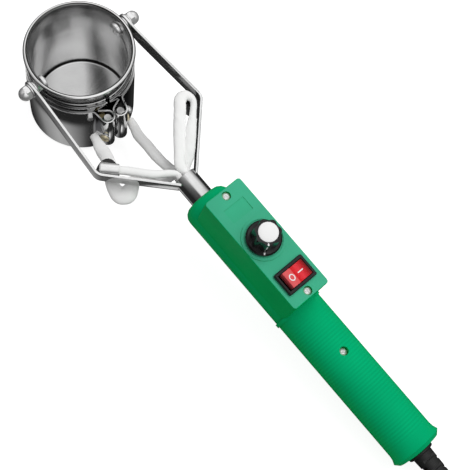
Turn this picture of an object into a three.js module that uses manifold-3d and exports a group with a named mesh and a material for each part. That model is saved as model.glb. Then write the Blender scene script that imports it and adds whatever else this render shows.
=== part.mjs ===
// Hand-held solder pot: a steel cup with a band heater, hung between the two
// arms of a steel yoke, on a tube that runs into a moulded handle with a dial
// and a rocker switch. Millimetres, +Z up. The cup stands upright on a bench and
// the handle leans down until the flange at its end rests on the bench too.
// The origin is on the bench, under the middle of the cup; +X runs towards the
// handle and +Y towards the right arm.

import * as THREE from 'three';
import Module from 'manifold-3d';
import { mergeVertices } from 'three/addons/utils/BufferGeometryUtils.js';

const wasm = await Module();
wasm.setup();

// Gap between pieces that touch, and the overrun of every cut
const seatGap = 0.3;
const cutOverrun = 1;

// Cup, measured from the pivot axis of the yoke
const cupInnerRadius = 30.2;
const cupWall = 0.7;
const cupFloorDepth = 60;
const cupFloorThickness = 1.2;
const cupCornerRadius = 2;
const cupRimHeight = 7.8;
const beadRadius = 1.35;
const beadFlare = 0.45;

// Band heater: inner sheath, clamping strap and outer cover
const sheathThickness = 0.45;
const sheathTopDepth = 4.9;
const sheathSlitAngle = THREE.MathUtils.degToRad(5);
const strapThickness = 0.8;
const strapTopDepth = 8.4;
const strapSlitAngle = THREE.MathUtils.degToRad(3);
const bandBottomRise = 1.5;
const coverThickness = 0.5;
const coverTopDepth = 12.4;
const coverBottomRise = 1.2;
const heaterTurn = THREE.MathUtils.degToRad(-7.6);

// The two lobes into which the ends of the cover are rolled
const lobeReach = 9;
const lobeSpread = 4.6;
const lobeRadius = 4.05;
const lobeBottomDepth = 44;
const lobeBendRadius = 3;
const lobeLeaveAngle = THREE.MathUtils.degToRad(17.6);
const lobeReturnAngle = THREE.MathUtils.degToRad(13);

// Clamp across the lobes, and the terminals in them
const dowelRadius = 2.3;
const dowelLength = 28.4;
const dowelTopInset = 1.6;
const clampDepth = 19;
const clampScrewRadius = 1.25;
const clampHeadRadius = 2.6;
const clampHeadHeight = 2.4;
const terminalPlateThickness = 0.8;
const terminalPlateWidth = 3.4;
const terminalPlateLength = 14;
const terminalPlateShare = 0.42;
const terminalFlangeReach = 1;
const terminalPlateTopInset = 2.5;
const terminalDepthLeft = 31.4;
const terminalDepthRight = 34;
const terminalAngleLeft = THREE.MathUtils.degToRad(53);
const terminalWallShare = 0.45;
const terminalScrewRadius = 1.4;
const terminalHeadRadius = 3;
const terminalHeadHeight = 2;
const terminalBiteLeft = 3.2;
const terminalBiteRight = 1.4;
const lugThickness = 0.6;
const lugTailWidth = 3;
const lugTailLength = 7;
const lugTailTurnLeft = THREE.MathUtils.degToRad(152);
const lugTailTurnRight = THREE.MathUtils.degToRad(-90);

// Pivot of the cup in the yoke
const pivotScrewRadius = 2;
const pivotHeadRadius = 3.6;
const pivotHeadHeight = 2.6;
const pivotNutAcross = 7;
const pivotNutHeight = 3;
const pivotWasherRadius = 4.5;
const pivotWasherThickness = 1.3;
const domeNutAcross = 7.4;
const domeNutHexHeight = 3;
const domeNutHeight = 7;
const outerWasherRadius = 4.8;
const outerWasherThickness = 0.8;
const holeClearance = 0.3;

// Yoke: two bent strips on edge, coped and welded to the end of a tube
const stripThickness = 1.5;
const stripHeight = 10;
const armSpacing = 36.9;
const armOverhang = 5.8;
const armEyeLength = 7;
const bendPlace = 66.4;
const bendSpread = 41.2;
const stripBendRadius = 3;
const tubeRadius = 7.6;
const tubeWall = 1;
const tubeMouth = 98.5;
const tubeInHandle = 30.8;
const tabThickness = 1.2;
const tabReach = 12.4;
const tabHalfLength = 7.5;
const tabPlace = 5.8;
const clipPlace = 1;
const clipWall = 0.6;
const clipLength = 11;

// Glass-fibre sleeves over the heater leads and the earth leads
const sleeveRadius = 2.7;
const sleeveMouthRadius = 2.15;
const sleeveMouthDepth = 8;
const sleeveStep = 4;
// Stops of the heater leads: share of the way along the handle from the lug to the tube's mouth, then how far aside
// and how high as shares of the bends' spread and the pivot's height, and the radius as a share of the sleeve's
const leadLeftShares = [
  [0.081, -0.510, -0.350, 1],
  [0.130, -0.529, -0.343, 1.2],
  [0.202, -0.551, -0.330, 1.35],
  [0.281, -0.580, -0.294, 1.35],
  [0.392, -0.655, -0.237, 1.35],
  [0.512, -0.777, -0.196, 1.3],
  [0.632, -0.850, -0.180, 1.2],
  [0.717, -0.850, -0.172, 1.2],
  [0.762, -0.765, -0.163, 1.2],
  [0.745, -0.670, -0.160, 1.15],
  [0.704, -0.587, -0.154, 1.1],
  [0.693, -0.495, -0.147, 1.1],
  [0.728, -0.403, -0.144, 1.1],
  [0.803, -0.306, -0.131, 1],
  [0.880, -0.218, -0.106, 1],
];
const leadRightShares = [
  [0.108, 0.175, -0.556, 1.2],
  [0.225, 0.112, -0.490, 1.35],
  [0.395, 0.063, -0.376, 1.35],
  [0.595, 0.000, -0.248, 1.35],
  [0.780, -0.015, -0.152, 1.2],
];
// Stops of the doubled earth lead: share of the second run of the right arm, distance from the arm in sleeve radii,
// and the radius as a share of the sleeve's
const earthOutShares = [
  [0.985, 3.7, 1],
  [0.774, 4.2, 1],
  [0.503, 4.5, 1.1],
  [0.229, 4.7, 1.1],
  [0.081, 4.75, 1.1],
  [0.022, 3.6, 1],
];
const earthLeftShares = [0.01, 0.255, 0.468, 0.681];
const earthLastShare = 0.83;
const earthLastLevel = 2.4;
const slotStart = 1;
const slotLeadLeft = 3.5;
const slotLeadRight = 3;
const earthBackShares = [
  [0.07, 1.95, 0.8],
  [0.243, 1.7, 0.8],
  [0.42, 1.85, 0.95],
  [0.613, 1.9, 1],
];

// Handle, measured along the tube from the pivot axis
const handleFront = 115.7;
const handleRadius = 15.4;
const handleWall = 2.4;
const noseLength = 6.5;
const noseFaceRadius = 9;
const gripStepLead = 1.3;
const gripStepWidth = 2.4;
const gripStepHeight = 0.9;
const flareStart = 304.5;
const flangePlace = 309.8;
const flangeRadius = 16.8;
const handleEnd = 313.2;
const handleEndRadius = 9;
const boxFront = 124;
const boxWidth = 26.9;
const boxTop = 36.8;
const boxEdgeRadius = 1.4;
const boxTopBevel = 0.5;
const rodRibThickness = 2.4;
const rodRibPlaceShares = [0.16, 0.78];
const labelPlaceShare = 0.186;
const labelLength = 9.2;
const labelWidth = 14.8;
const labelDepth = 0.35;

// Screws of the handle
const handleScrewRadius = 1.45;
const handleScrewHeadRadius = 2.45;
const handleScrewHeadHeight = 1.8;
const crossRecessWidth = 0.7;
const crossRecessDepth = 0.9;
const crossRecessLengthShare = 0.7;
const screwPocketClearance = 0.35;
const facePocketDepth = 0.9;
const frontScrewInset = 4.1;
const rearScrewInset = 3.9;
const gripScrewPlace = 239.7;
const gripPocketDepth = 2.4;
const bossRadius = 4.2;
const screwBite = 12.6;

// Dial, its raised ring and the potentiometer under it
const dialPlaceShare = 0.4616;
const dialRingRadius = 13.2;
const dialRingWidth = 1.5;
const dialRingHeight = 0.6;
const dialGap = 0.8;
const skirtRadius = 10.7;
const skirtHeight = 2.2;
const skirtEdge = 0.8;
const gripFluteCount = 7;
const fluteSteps = 10;
const knobBaseRadius = 8.8;
const knobTopRadius = 8.1;
const fluteDepth = 1.2;
const knobHeight = 13.6;
const capRadius = 5.95;
const capDomeHeight = 1;
const capInset = 1.6;
const pointerWidth = 0.9;
const pointerThickness = 0.35;
const pointerAngle = THREE.MathUtils.degToRad(-41);
const shaftRadius = 3;
const shaftFlatDepth = 1.2;
const shaftInKnob = 8.5;
const bushingRadius = 3.5;
const bushingRise = 0.5;
const potBodyRadius = 8.3;
const potBodyHeight = 8.5;
const potLugWidth = 2;
const potLugLength = 5;
const potLugThickness = 0.6;
const potLugPitch = 5;

// Rocker switch
const switchScrewGap = 0.7;
const bezelLength = 21;
const bezelWidth = 15;
const bezelHeight = 2;
const bezelBevel = 0.5;
const switchBodyLength = 19.7;
const switchBodyWidth = 12.8;
const switchBodyDepth = 14;
const rockerLength = 15.4;
const rockerWidth = 10.4;
const rockerClearance = 0.4;
const rockerSwing = 1.3;
const rockerTravel = THREE.MathUtils.degToRad(18);
const rockerPivotDepth = 3.4;
const rockerCrest = 3.2;
const rockerValley = 1;
const rockerBelly = 4.4;
const rockerPinRadius = 1;
const rockerPinBite = 0.8;
const tagWidth = 4.8;
const tagThickness = 0.8;
const tagLength = 7;
const tagPitch = 7;

// Control board on posts in the lower shell
const boardInset = 17.6;
const boardEndGap = 2.4;
const boardLength = 51.4;
const boardWidth = 19;
const boardThickness = 1.6;
const boardHeight = 10.2;
const boardPostRadius = 1.6;
const boardPostInset = 3;
const capacitorRadius = 4;
const capacitorHeight = 9;
const triacWidth = 10;
const triacHeight = 12;
const triacThickness = 4.4;

// Strain relief and mains cord
const cordRadius = 3.3;
const reliefFlangeRadius = 8.4;
const reliefFlangeThickness = 1.6;
const reliefNeckRadius = 5.4;
const reliefLockRadius = 7.6;
const reliefLockThickness = 1.4;
const reliefBaseRadius = 6.4;
const reliefTipRadius = 4.7;
const reliefLength = 42;
const reliefBoreDepth = 6;
const slotWidth = 1.7;
const slotPitch = 3.4;
const slotWallShare = 0.22;
const slotCount = 10;

// Coil of the cord: two layers of loops lying on the bench
// Stops of the cord on its way to the coil: share of the way along, of the way aside, and of the height left
const cordShares = [
  [0.216, 0.02, 0.233],
  [0.4, 0.12, 0.036],
  [0.615, 0.32, 0],
  [0.8, 0.6, 0],
];
const coilReach = 432;
const coilAside = 34;
const coilOuterRadius = 46;
const coilPitch = 7.15;
const coilLayerRise = 7.25;
const coilTurnsPerLayer = 3;
const coilClimbTurns = 0.5;
const coilStepsPerTurn = 24;
const coilSides = 6;
const coilStartAngle = THREE.MathUtils.degToRad(-90);
const coilTailAngle = THREE.MathUtils.degToRad(95);
const tailLength = 58;
const tailShares = [[0.14, 0.04], [0.31, 0.26], [0.48, 0.64], [0.66, 0.9], [0.83, 1], [1, 1]];

// Plug
const plugLength = 34;
const plugWidth = 26;
const plugHeight = 13.5;
const plugNeckLength = 12;
const plugNeckRadius = 5.2;
const plugPinRadius = 2;
const plugPinLength = 19;
const plugPinSpacing = 18.6;
const plugPinBite = 2;

// Facets of the round pieces
const fineSegments = 48;
const coarseSegments = 28;
const cavitySegments = 20;
const smallSegments = 14;
const noseSteps = 4;
const flareSteps = 2;
const cornerSegments = 3;
const cordSides = 8;
const cordStepDiameters = 1.3;

// Colours, roughness and metalness
const finishes = {
  steel: { color: 0xb9bbbd, roughness: 0.22, metalness: 1 },
  darkSteel: { color: 0x8d8f92, roughness: 0.2, metalness: 1 },
  brass: { color: 0xb8945a, roughness: 0.35, metalness: 1 },
  mica: { color: 0x9a948a, roughness: 0.6, metalness: 0 },
  greenPlastic: { color: 0x17a874, roughness: 0.45, metalness: 0 },
  blackPlastic: { color: 0x1c1b1d, roughness: 0.45, metalness: 0 },
  whitePlastic: { color: 0xf2f2f2, roughness: 0.4, metalness: 0 },
  redPlastic: { color: 0xd3141c, roughness: 0.3, metalness: 0 },
  sleeving: { color: 0xeeeeec, roughness: 0.9, metalness: 0 },
  rubber: { color: 0x202022, roughness: 0.6, metalness: 0 },
  board: { color: 0x2d6b3a, roughness: 0.5, metalness: 0 },
};

// Places worked out from the sizes above
const cupOuterRadius = cupInnerRadius + cupWall;
const pivotHeight = cupFloorDepth + cupFloorThickness;
const leanReach = Math.hypot(flangePlace, flangeRadius);
const handleLean = Math.asin(pivotHeight / leanReach) - Math.atan2(flangeRadius, flangePlace);
const sheathInner = cupOuterRadius + seatGap;
const strapInner = sheathInner + sheathThickness + seatGap;
const coverInner = strapInner + strapThickness + seatGap;
const coverMiddle = coverInner + coverThickness / 2;
const bandBottom = -pivotHeight + bandBottomRise;
const coverBottom = -pivotHeight + coverBottomRise;
const lobeCentre = new THREE.Vector2(coverMiddle - lobeRadius + lobeReach + coverThickness, lobeSpread);
const handleScrewPocket = handleScrewHeadRadius + screwPocketClearance;
const coilPlace = new THREE.Vector2(coilReach, coilAside);
const tubeEnd = handleFront + tubeInHandle;
const boardFront = boxFront + boardInset;
const frontScrewPlace = boxFront + frontScrewInset;
const rearScrewPlace = boardFront + boardLength + boardEndGap + bossRadius;
const boxRear = rearScrewPlace + rearScrewInset;
const gripStepPlace = boxRear - gripStepLead;
const labelPlace = boxFront + (boxRear - boxFront) * labelPlaceShare;
const dialPlace = boxFront + (boxRear - boxFront) * dialPlaceShare;
const switchPlace = rearScrewPlace - bossRadius - switchScrewGap - switchBodyWidth / 2;
const faceInner = boxTop - handleWall;
const cordDiameter = 2 * cordRadius;

// Helpers that turn geometry into solids and back

function closedGeometry(geometry) {
  // Keeps only the position, with the shared corners merged
  const bare = new THREE.BufferGeometry();
  bare.setAttribute('position', geometry.getAttribute('position').clone());
  if (geometry.index) bare.setIndex(geometry.index.clone());
  return mergeVertices(bare, seatGap / 3000);
}

function signedVolume(geometry) {
  const place = geometry.getAttribute('position');
  const order = geometry.index.array;
  const a = new THREE.Vector3();
  const b = new THREE.Vector3();
  const c = new THREE.Vector3();
  let sum = 0;
  for (let i = 0; i < order.length; i += 3) {
    a.fromBufferAttribute(place, order[i]);
    b.fromBufferAttribute(place, order[i + 1]);
    c.fromBufferAttribute(place, order[i + 2]);
    sum += a.dot(b.cross(c)) / 6;
  }
  return sum;
}

function solid(geometry) {
  // A closed body with its faces pointing out
  const body = closedGeometry(geometry);
  const order = body.index.array;
  if (signedVolume(body) < 0) {
    for (let i = 0; i < order.length; i += 3) [order[i], order[i + 1]] = [order[i + 1], order[i]];
  }
  const vertProperties = new Float32Array(body.getAttribute('position').array);
  const triVerts = new Uint32Array(order);
  return new wasm.Manifold(new wasm.Mesh({ numProp: 3, vertProperties, triVerts }));
}

function geometryOf(body) {
  const mesh = body.getMesh();
  const geometry = new THREE.BufferGeometry();
  geometry.setAttribute('position', new THREE.BufferAttribute(mesh.vertProperties, 3));
  geometry.setIndex(new THREE.BufferAttribute(mesh.triVerts, 1));
  geometry.computeVertexNormals();
  return geometry;
}

function joined(bodies) {
  return bodies.reduce((sum, body) => sum.add(body));
}

function piece(name, body, finish) {
  const mesh = new THREE.Mesh(geometryOf(body), new THREE.MeshStandardMaterial(finishes[finish]));
  mesh.name = name;
  return mesh;
}

// Shapes

function turned(profile, segments = coarseSegments) {
  // Revolves [radius, height] points about Z
  const points = profile.map(([radius, height]) => new THREE.Vector2(radius, height));
  return new THREE.LatheGeometry(points, segments).rotateX(Math.PI / 2);
}

function turnedAlongX(profile, segments = coarseSegments) {
  // Revolves [place along X, radius] points about X
  return turned(profile.map(([place, radius]) => [radius, place]), segments).rotateY(Math.PI / 2);
}

function turnedAlongY(profile, segments = smallSegments) {
  // Revolves [place along Y, radius] points about Y
  return turned(profile.map(([place, radius]) => [radius, place]), segments).rotateX(-Math.PI / 2);
}

function rod(radius, low, high, segments = smallSegments) {
  return turned([[0, low], [radius, low], [radius, high], [0, high]], segments);
}

function ring(inner, outer, low, high, segments = coarseSegments) {
  return turned([[inner, low], [outer, low], [outer, high], [inner, high], [inner, low]], segments);
}

function block(x0, x1, y0, y1, z0, z1) {
  const box = new THREE.BoxGeometry(x1 - x0, y1 - y0, z1 - z0);
  return box.translate((x0 + x1) / 2, (y0 + y1) / 2, (z0 + z1) / 2);
}

function arcPoints(centre, radius, from, to, steps) {
  const points = [];
  for (let i = 0; i <= steps; i++) {
    const angle = from + (to - from) * i / steps;
    points.push(new THREE.Vector2(centre.x + radius * Math.cos(angle), centre.y + radius * Math.sin(angle)));
  }
  return points;
}

function roundedRectangle(length, width, radius) {
  const x = length / 2 - radius;
  const y = width / 2 - radius;
  const corners = [[x, y, 0], [-x, y, 1], [-x, -y, 2], [x, -y, 3]];
  const points = corners.flatMap(([cx, cy, turn]) =>
    arcPoints(new THREE.Vector2(cx, cy), radius, turn * Math.PI / 2, (turn + 1) * Math.PI / 2, cornerSegments));
  return new THREE.Shape(points);
}

function bentSheet(middle, thickness, low, high) {
  // A sheet on edge: its middle line, seen from above, thickened both ways
  const left = [];
  const right = [];
  middle.forEach((point, i) => {
    const before = middle[Math.max(i - 1, 0)];
    const after = middle[Math.min(i + 1, middle.length - 1)];
    const ahead = after.clone().sub(point).normalize();
    const behind = point.clone().sub(before).normalize();
    const along = i === 0 ? ahead : i === middle.length - 1 ? behind : ahead.clone().add(behind).normalize();
    const stretch = i === 0 || i === middle.length - 1 ? 1 : 1 / along.dot(ahead);
    const side = new THREE.Vector2(-along.y, along.x).multiplyScalar(thickness / 2 * stretch);
    left.push(point.clone().add(side));
    right.push(point.clone().sub(side));
  });
  const shape = new THREE.Shape([...left, ...right.reverse()]);
  const sheet = new THREE.ExtrudeGeometry(shape, { depth: high - low, bevelEnabled: false });
  return sheet.translate(0, 0, low);
}

function roundedCorner(before, corner, after, radius, steps) {
  // Replaces a corner of a line by an arc that touches both sides
  const back = before.clone().sub(corner).normalize();
  const on = after.clone().sub(corner).normalize();
  const half = Math.acos(THREE.MathUtils.clamp(back.dot(on), -1, 1)) / 2;
  const centre = back.clone().add(on).normalize().multiplyScalar(radius / Math.sin(half)).add(corner);
  const start = back.multiplyScalar(radius / Math.tan(half)).add(corner);
  const end = on.multiplyScalar(radius / Math.tan(half)).add(corner);
  const from = Math.atan2(start.y - centre.y, start.x - centre.x);
  let to = Math.atan2(end.y - centre.y, end.x - centre.x);
  if (to - from > Math.PI) to -= 2 * Math.PI;
  if (from - to > Math.PI) to += 2 * Math.PI;
  return arcPoints(centre, radius, from, to, steps);
}

function tubeAlong(points, radius, sides, step) {
  // A round section swept along a smooth curve through the points
  const curve = new THREE.CatmullRomCurve3(points, false, 'centripetal');
  const steps = Math.max(2, Math.round(curve.getLength() / step));
  const section = new THREE.Shape(arcPoints(new THREE.Vector2(), radius, 0, 2 * Math.PI * (1 - 1 / sides), sides - 1));
  return new THREE.ExtrudeGeometry(section, { steps, extrudePath: curve, bevelEnabled: false });
}

function hexagon(across, low, high) {
  const corner = across / Math.sqrt(3);
  return new THREE.CylinderGeometry(corner, corner, high - low, 6).rotateX(Math.PI / 2)
    .translate(0, 0, (low + high) / 2);
}

// Frames: the cup stands upright at the pivot, the handle leans about it

function leanToUpright(point) {
  return point.clone().applyAxisAngle(new THREE.Vector3(0, 1, 0), handleLean);
}

function uprightToLean(point) {
  return point.clone().applyAxisAngle(new THREE.Vector3(0, 1, 0), -handleLean);
}

function benchPoint(point) {
  // A point of the leaning handle frame, seen from the bench
  return leanToUpright(point).add(new THREE.Vector3(0, 0, pivotHeight));
}

// Cup

function cup() {
  const beadCentre = new THREE.Vector2(cupOuterRadius + beadFlare + beadRadius, cupRimHeight - beadRadius);
  const corner = new THREE.Vector2(cupInnerRadius - cupCornerRadius, -cupFloorDepth + cupCornerRadius);
  const outerCorner = cupCornerRadius + Math.min(cupWall, cupFloorThickness);
  const outer = new THREE.Vector2(cupOuterRadius - outerCorner, -pivotHeight + outerCorner);
  const bead = arcPoints(beadCentre, beadRadius, Math.PI * 0.9, -Math.PI * 0.75, 7);
  const profile = [
    [0, -cupFloorDepth],
    ...arcPoints(corner, cupCornerRadius, -Math.PI / 2, 0, 4).map((p) => [p.x, p.y]),
    [cupInnerRadius, beadCentre.y - beadRadius],
    ...bead.map((p) => [p.x, p.y]),
    [cupOuterRadius, beadCentre.y - 2 * beadRadius],
    ...arcPoints(outer, outerCorner, 0, -Math.PI / 2, 4).map((p) => [p.x, p.y]),
    [0, -pivotHeight],
  ];
  const hole = pivotScrewRadius + holeClearance;
  const drill = turnedAlongY([[-cupOuterRadius - cutOverrun, 0], [-cupOuterRadius - cutOverrun, hole],
    [cupOuterRadius + cutOverrun, hole], [cupOuterRadius + cutOverrun, 0]]);
  return solid(turned(profile, fineSegments)).subtract(solid(drill));
}

// Band heater

function splitRing(inner, thickness, low, high, slit, turn) {
  const middle = arcPoints(new THREE.Vector2(), inner + thickness / 2, turn + slit / 2,
    turn + 2 * Math.PI - slit / 2, fineSegments);
  return solid(bentSheet(middle, thickness, low, high));
}

function tangentAngle(point, centre, radius, side) {
  // Where a line from the point touches the circle
  const away = point.clone().sub(centre);
  return Math.atan2(away.y, away.x) + side * Math.acos(radius / away.length());
}

function lobeWall() {
  // The flat outer wall of a lobe: where it leaves the round body and where it touches the lobe's circle
  const leave = new THREE.Vector2(Math.cos(lobeLeaveAngle), Math.sin(lobeLeaveAngle)).multiplyScalar(coverMiddle);
  const angle = tangentAngle(leave, lobeCentre, lobeRadius, -1);
  const touch = new THREE.Vector2(Math.cos(angle), Math.sin(angle)).multiplyScalar(lobeRadius).add(lobeCentre);
  return { leave, touch, angle };
}

function lobeLine() {
  // Half of the cover's middle line, from the back round to one lobe and in again
  const round = new THREE.Vector2();
  const { leave, touch, angle } = lobeWall();
  const back = new THREE.Vector2(Math.cos(lobeReturnAngle), Math.sin(lobeReturnAngle)).multiplyScalar(coverMiddle);
  const to = tangentAngle(back, lobeCentre, lobeRadius, 1) - 2 * Math.PI;
  const bendAngle = lobeBendRadius / coverMiddle;
  const body = arcPoints(round, coverMiddle, Math.PI, lobeLeaveAngle + bendAngle, coarseSegments);
  return [
    ...body,
    ...roundedCorner(body[body.length - 1], leave, touch, lobeBendRadius * 0.7, 2),
    ...arcPoints(lobeCentre, lobeRadius, angle, to, 12),
    back,
  ];
}

function heaterCover() {
  const half = lobeLine();
  const mirrored = half.map((p) => new THREE.Vector2(p.x, -p.y)).reverse();
  const middle = [...mirrored.slice(0, -1), ...half];
  const sheet = solid(bentSheet(middle, coverThickness, coverBottom, -coverTopDepth));
  const reach = lobeCentre.y + 2 * lobeRadius;
  const hole = clampScrewRadius + holeClearance;
  const clampHole = turnedAlongY([[-lobeCentre.y, 0], [-lobeCentre.y, hole], [reach, hole], [reach, 0]]);
  clampHole.translate(lobeCentre.x, 0, -clampDepth);
  const { leave } = lobeWall();
  const cutaway = block(leave.x + lobeBendRadius, lobeCentre.x + 2 * lobeRadius, -reach, reach,
    coverBottom - cutOverrun, -lobeBottomDepth);
  const inside = block(0, leave.x + lobeBendRadius + cutOverrun, -leave.y + lobeBendRadius, leave.y - lobeBendRadius,
    coverBottom - cutOverrun, -lobeBottomDepth);
  let cover = sheet.subtract(solid(clampHole)).subtract(solid(cutaway)).subtract(solid(inside));
  for (const side of [-1, 1]) {
    const place = terminalPlace(side);
    const drill = rod(terminalScrewRadius + holeClearance, -coverThickness - cutOverrun, coverThickness + cutOverrun);
    cover = cover.subtract(solid(placed(drill, place)));
  }
  return cover;
}

function terminalDepth(side) {
  return side < 0 ? terminalDepthLeft : terminalDepthRight;
}

function terminalPlace(side) {
  // Middle of the sheet at a terminal screw, with Z outwards: on the left lobe's round end, on the right's flat wall
  const { leave, touch } = lobeWall();
  const along = touch.clone().sub(leave).normalize();
  const normal = new THREE.Vector3(-along.y, along.x * side, 0);
  const spot = leave.clone().lerp(touch, terminalWallShare);
  if (side < 0) {
    normal.set(Math.cos(terminalAngleLeft), -Math.sin(terminalAngleLeft), 0);
    spot.set(lobeCentre.x + lobeRadius * normal.x, lobeCentre.y - lobeRadius * normal.y);
  }
  return wallFrame(side, spot, normal, -terminalDepth(side));
}

function wallFrame(side, spot, normal, height) {
  const up = new THREE.Vector3(0, 0, 1);
  const across = new THREE.Vector3().crossVectors(up, normal);
  const place = new THREE.Matrix4().makeBasis(across, up, normal);
  return place.setPosition(spot.x, spot.y * side, height);
}

function placed(geometry, matrix) {
  return geometry.applyMatrix4(matrix);
}

function terminalScrew(side) {
  const wall = coverThickness / 2;
  const underHead = wall + seatGap + lugThickness + seatGap;
  const tip = -wall - (side < 0 ? terminalBiteLeft : terminalBiteRight);
  const profile = [[0, tip], [terminalScrewRadius, tip], [terminalScrewRadius, underHead],
    [terminalHeadRadius, underHead], [terminalHeadRadius, underHead + terminalHeadHeight / 2],
    [terminalHeadRadius / 2, underHead + terminalHeadHeight], [0, underHead + terminalHeadHeight]];
  const slot = block(-terminalHeadRadius - cutOverrun, terminalHeadRadius + cutOverrun, -crossRecessWidth / 2,
    crossRecessWidth / 2, underHead + terminalHeadHeight - crossRecessDepth, underHead + terminalHeadHeight + cutOverrun);
  const screw = solid(turned(profile, smallSegments)).subtract(solid(slot));
  return screw.transform(terminalPlace(side).toArray());
}

function terminalPlate(side) {
  // A brass strip inside the lobe's flat wall, with its top bent inwards under the open end
  const { leave, touch } = lobeWall();
  const along = touch.clone().sub(leave).normalize();
  const normal = new THREE.Vector3(-along.y, along.x * side, 0);
  const spot = leave.clone().lerp(touch, terminalPlateShare);
  const outer = -coverThickness / 2 - seatGap;
  const inner = outer - terminalPlateThickness;
  const half = terminalPlateWidth / 2;
  const plate = solid(block(-half, half, -terminalPlateLength, 0, inner, outer));
  const flange = solid(block(-half, half, -terminalPlateThickness, 0, inner - terminalFlangeReach, outer));
  const top = -coverTopDepth - terminalPlateTopInset;
  return plate.add(flange).transform(wallFrame(side, spot, normal, top).toArray());
}

function lugTailTurn(side) {
  return side < 0 ? lugTailTurnLeft : lugTailTurnRight;
}

function terminalLug(side) {
  // A ring under the screw head with a tail to the end of the sleeve
  const low = coverThickness / 2 + seatGap;
  const ringBody = solid(rod(terminalHeadRadius, low, low + lugThickness));
  const tail = block(0, lugTailLength, -lugTailWidth / 2, lugTailWidth / 2, low, low + lugThickness);
  const hole = solid(rod(terminalScrewRadius + seatGap, low - cutOverrun, low + lugThickness + cutOverrun));
  return ringBody.add(solid(tail.rotateZ(lugTailTurn(side)))).subtract(hole).transform(terminalPlace(side).toArray());
}

function clampDowel(side) {
  const top = -coverTopDepth - dowelTopInset;
  const barrel = solid(rod(dowelRadius, top - dowelLength, top)).translate([lobeCentre.x, side * lobeCentre.y, 0]);
  const hole = clampScrewRadius + seatGap;
  const reach = lobeCentre.y + lobeRadius;
  const cut = turnedAlongY([[-reach, 0], [-reach, hole], [reach, hole], [reach, 0]]);
  const bore = rod(terminalScrewRadius + seatGap, -lobeRadius - dowelRadius, 0);
  return barrel.subtract(solid(cut.translate(lobeCentre.x, 0, -clampDepth)))
    .subtract(solid(placed(bore, terminalPlace(side))));
}

function clampScrew() {
  // Through the right lobe and its dowel into the left dowel, with the head on the right
  const { leave, touch } = lobeWall();
  const slope = (leave.y - touch.y) / (touch.x - leave.x);
  const headPlace = touch.y + slope * (touch.x - lobeCentre.x + clampHeadRadius) + coverThickness / 2 + seatGap;
  const profile = [[-lobeCentre.y - dowelRadius, 0], [-lobeCentre.y - dowelRadius, clampScrewRadius],
    [headPlace, clampScrewRadius], [headPlace, clampHeadRadius],
    [headPlace + clampHeadHeight * 0.6, clampHeadRadius], [headPlace + clampHeadHeight, clampHeadRadius * 0.6],
    [headPlace + clampHeadHeight, 0]];
  return solid(turnedAlongY(profile).translate(lobeCentre.x, 0, -clampDepth));
}

// Pivot hardware, on the +Y side; the other side is turned half round

function pivotScrew() {
  const head = cupInnerRadius * Math.cos(Math.PI / fineSegments) - seatGap - pivotWasherSag();
  const tip = armSpacing + stripThickness / 2 + seatGap + outerWasherThickness + seatGap + domeNutHexHeight;
  const profile = [[head - pivotHeadHeight, 0], [head - pivotHeadHeight, pivotHeadRadius * 0.45],
    [head - pivotHeadHeight * 0.55, pivotHeadRadius * 0.9], [head, pivotHeadRadius], [head, pivotScrewRadius],
    [tip, pivotScrewRadius], [tip, 0]];
  const slotTop = head - pivotHeadHeight + crossRecessDepth;
  const slot = block(-crossRecessWidth / 2, crossRecessWidth / 2, head - pivotHeadHeight - cutOverrun, slotTop,
    -pivotHeadRadius - cutOverrun, pivotHeadRadius + cutOverrun);
  return solid(turnedAlongY(profile)).subtract(solid(slot));
}

function pivotWasherSag() {
  // How far the round wall stands off a flat head of this radius
  return cupInnerRadius - Math.sqrt(cupInnerRadius ** 2 - pivotHeadRadius ** 2);
}

function pivotNut() {
  const low = cupOuterRadius + seatGap;
  const nut = solid(hexagon(pivotNutAcross, low, low + pivotNutHeight).rotateX(-Math.PI / 2));
  return nut.subtract(pivotBore(low, low + pivotNutHeight));
}

function pivotBore(low, high) {
  const hole = pivotScrewRadius + holeClearance;
  return solid(turnedAlongY([[low - cutOverrun, 0], [low - cutOverrun, hole],
    [high + cutOverrun, hole], [high + cutOverrun, 0]]));
}

function pivotWasher() {
  const high = armSpacing - stripThickness / 2 - seatGap;
  const hole = pivotScrewRadius + holeClearance;
  const low = high - pivotWasherThickness;
  return solid(turnedAlongY([[low, hole], [low, pivotWasherRadius], [high, pivotWasherRadius], [high, hole],
    [low, hole]]));
}

function outerWasher() {
  const low = armSpacing + stripThickness / 2 + seatGap;
  const high = low + outerWasherThickness;
  const hole = pivotScrewRadius + holeClearance;
  return solid(turnedAlongY([[low, hole], [low, outerWasherRadius], [high, outerWasherRadius], [high, hole],
    [low, hole]]));
}

function domeNut() {
  const low = armSpacing + stripThickness / 2 + seatGap + outerWasherThickness + seatGap;
  const top = low + domeNutHexHeight;
  const hex = solid(hexagon(domeNutAcross, low, top + cutOverrun / 2).rotateX(-Math.PI / 2));
  const domeRadius = domeNutAcross / 2;
  const rise = domeNutHeight - domeNutHexHeight;
  const dome = [[low, 0], [low, domeRadius]];
  for (let i = 0; i <= 6; i++) {
    const angle = i / 6 * Math.PI / 2;
    dome.push([top + rise * Math.sin(angle), i === 6 ? 0 : domeRadius * Math.cos(angle)]);
  }
  const hole = pivotScrewRadius + seatGap;
  const depth = top + seatGap;
  const bore = solid(turnedAlongY([[low - cutOverrun, 0], [low - cutOverrun, hole], [depth, hole], [depth, 0]]));
  return hex.add(solid(turnedAlongY(dome))).subtract(bore);
}

// Yoke, in the leaning frame; side is -1 for the left arm and 1 for the right

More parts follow.
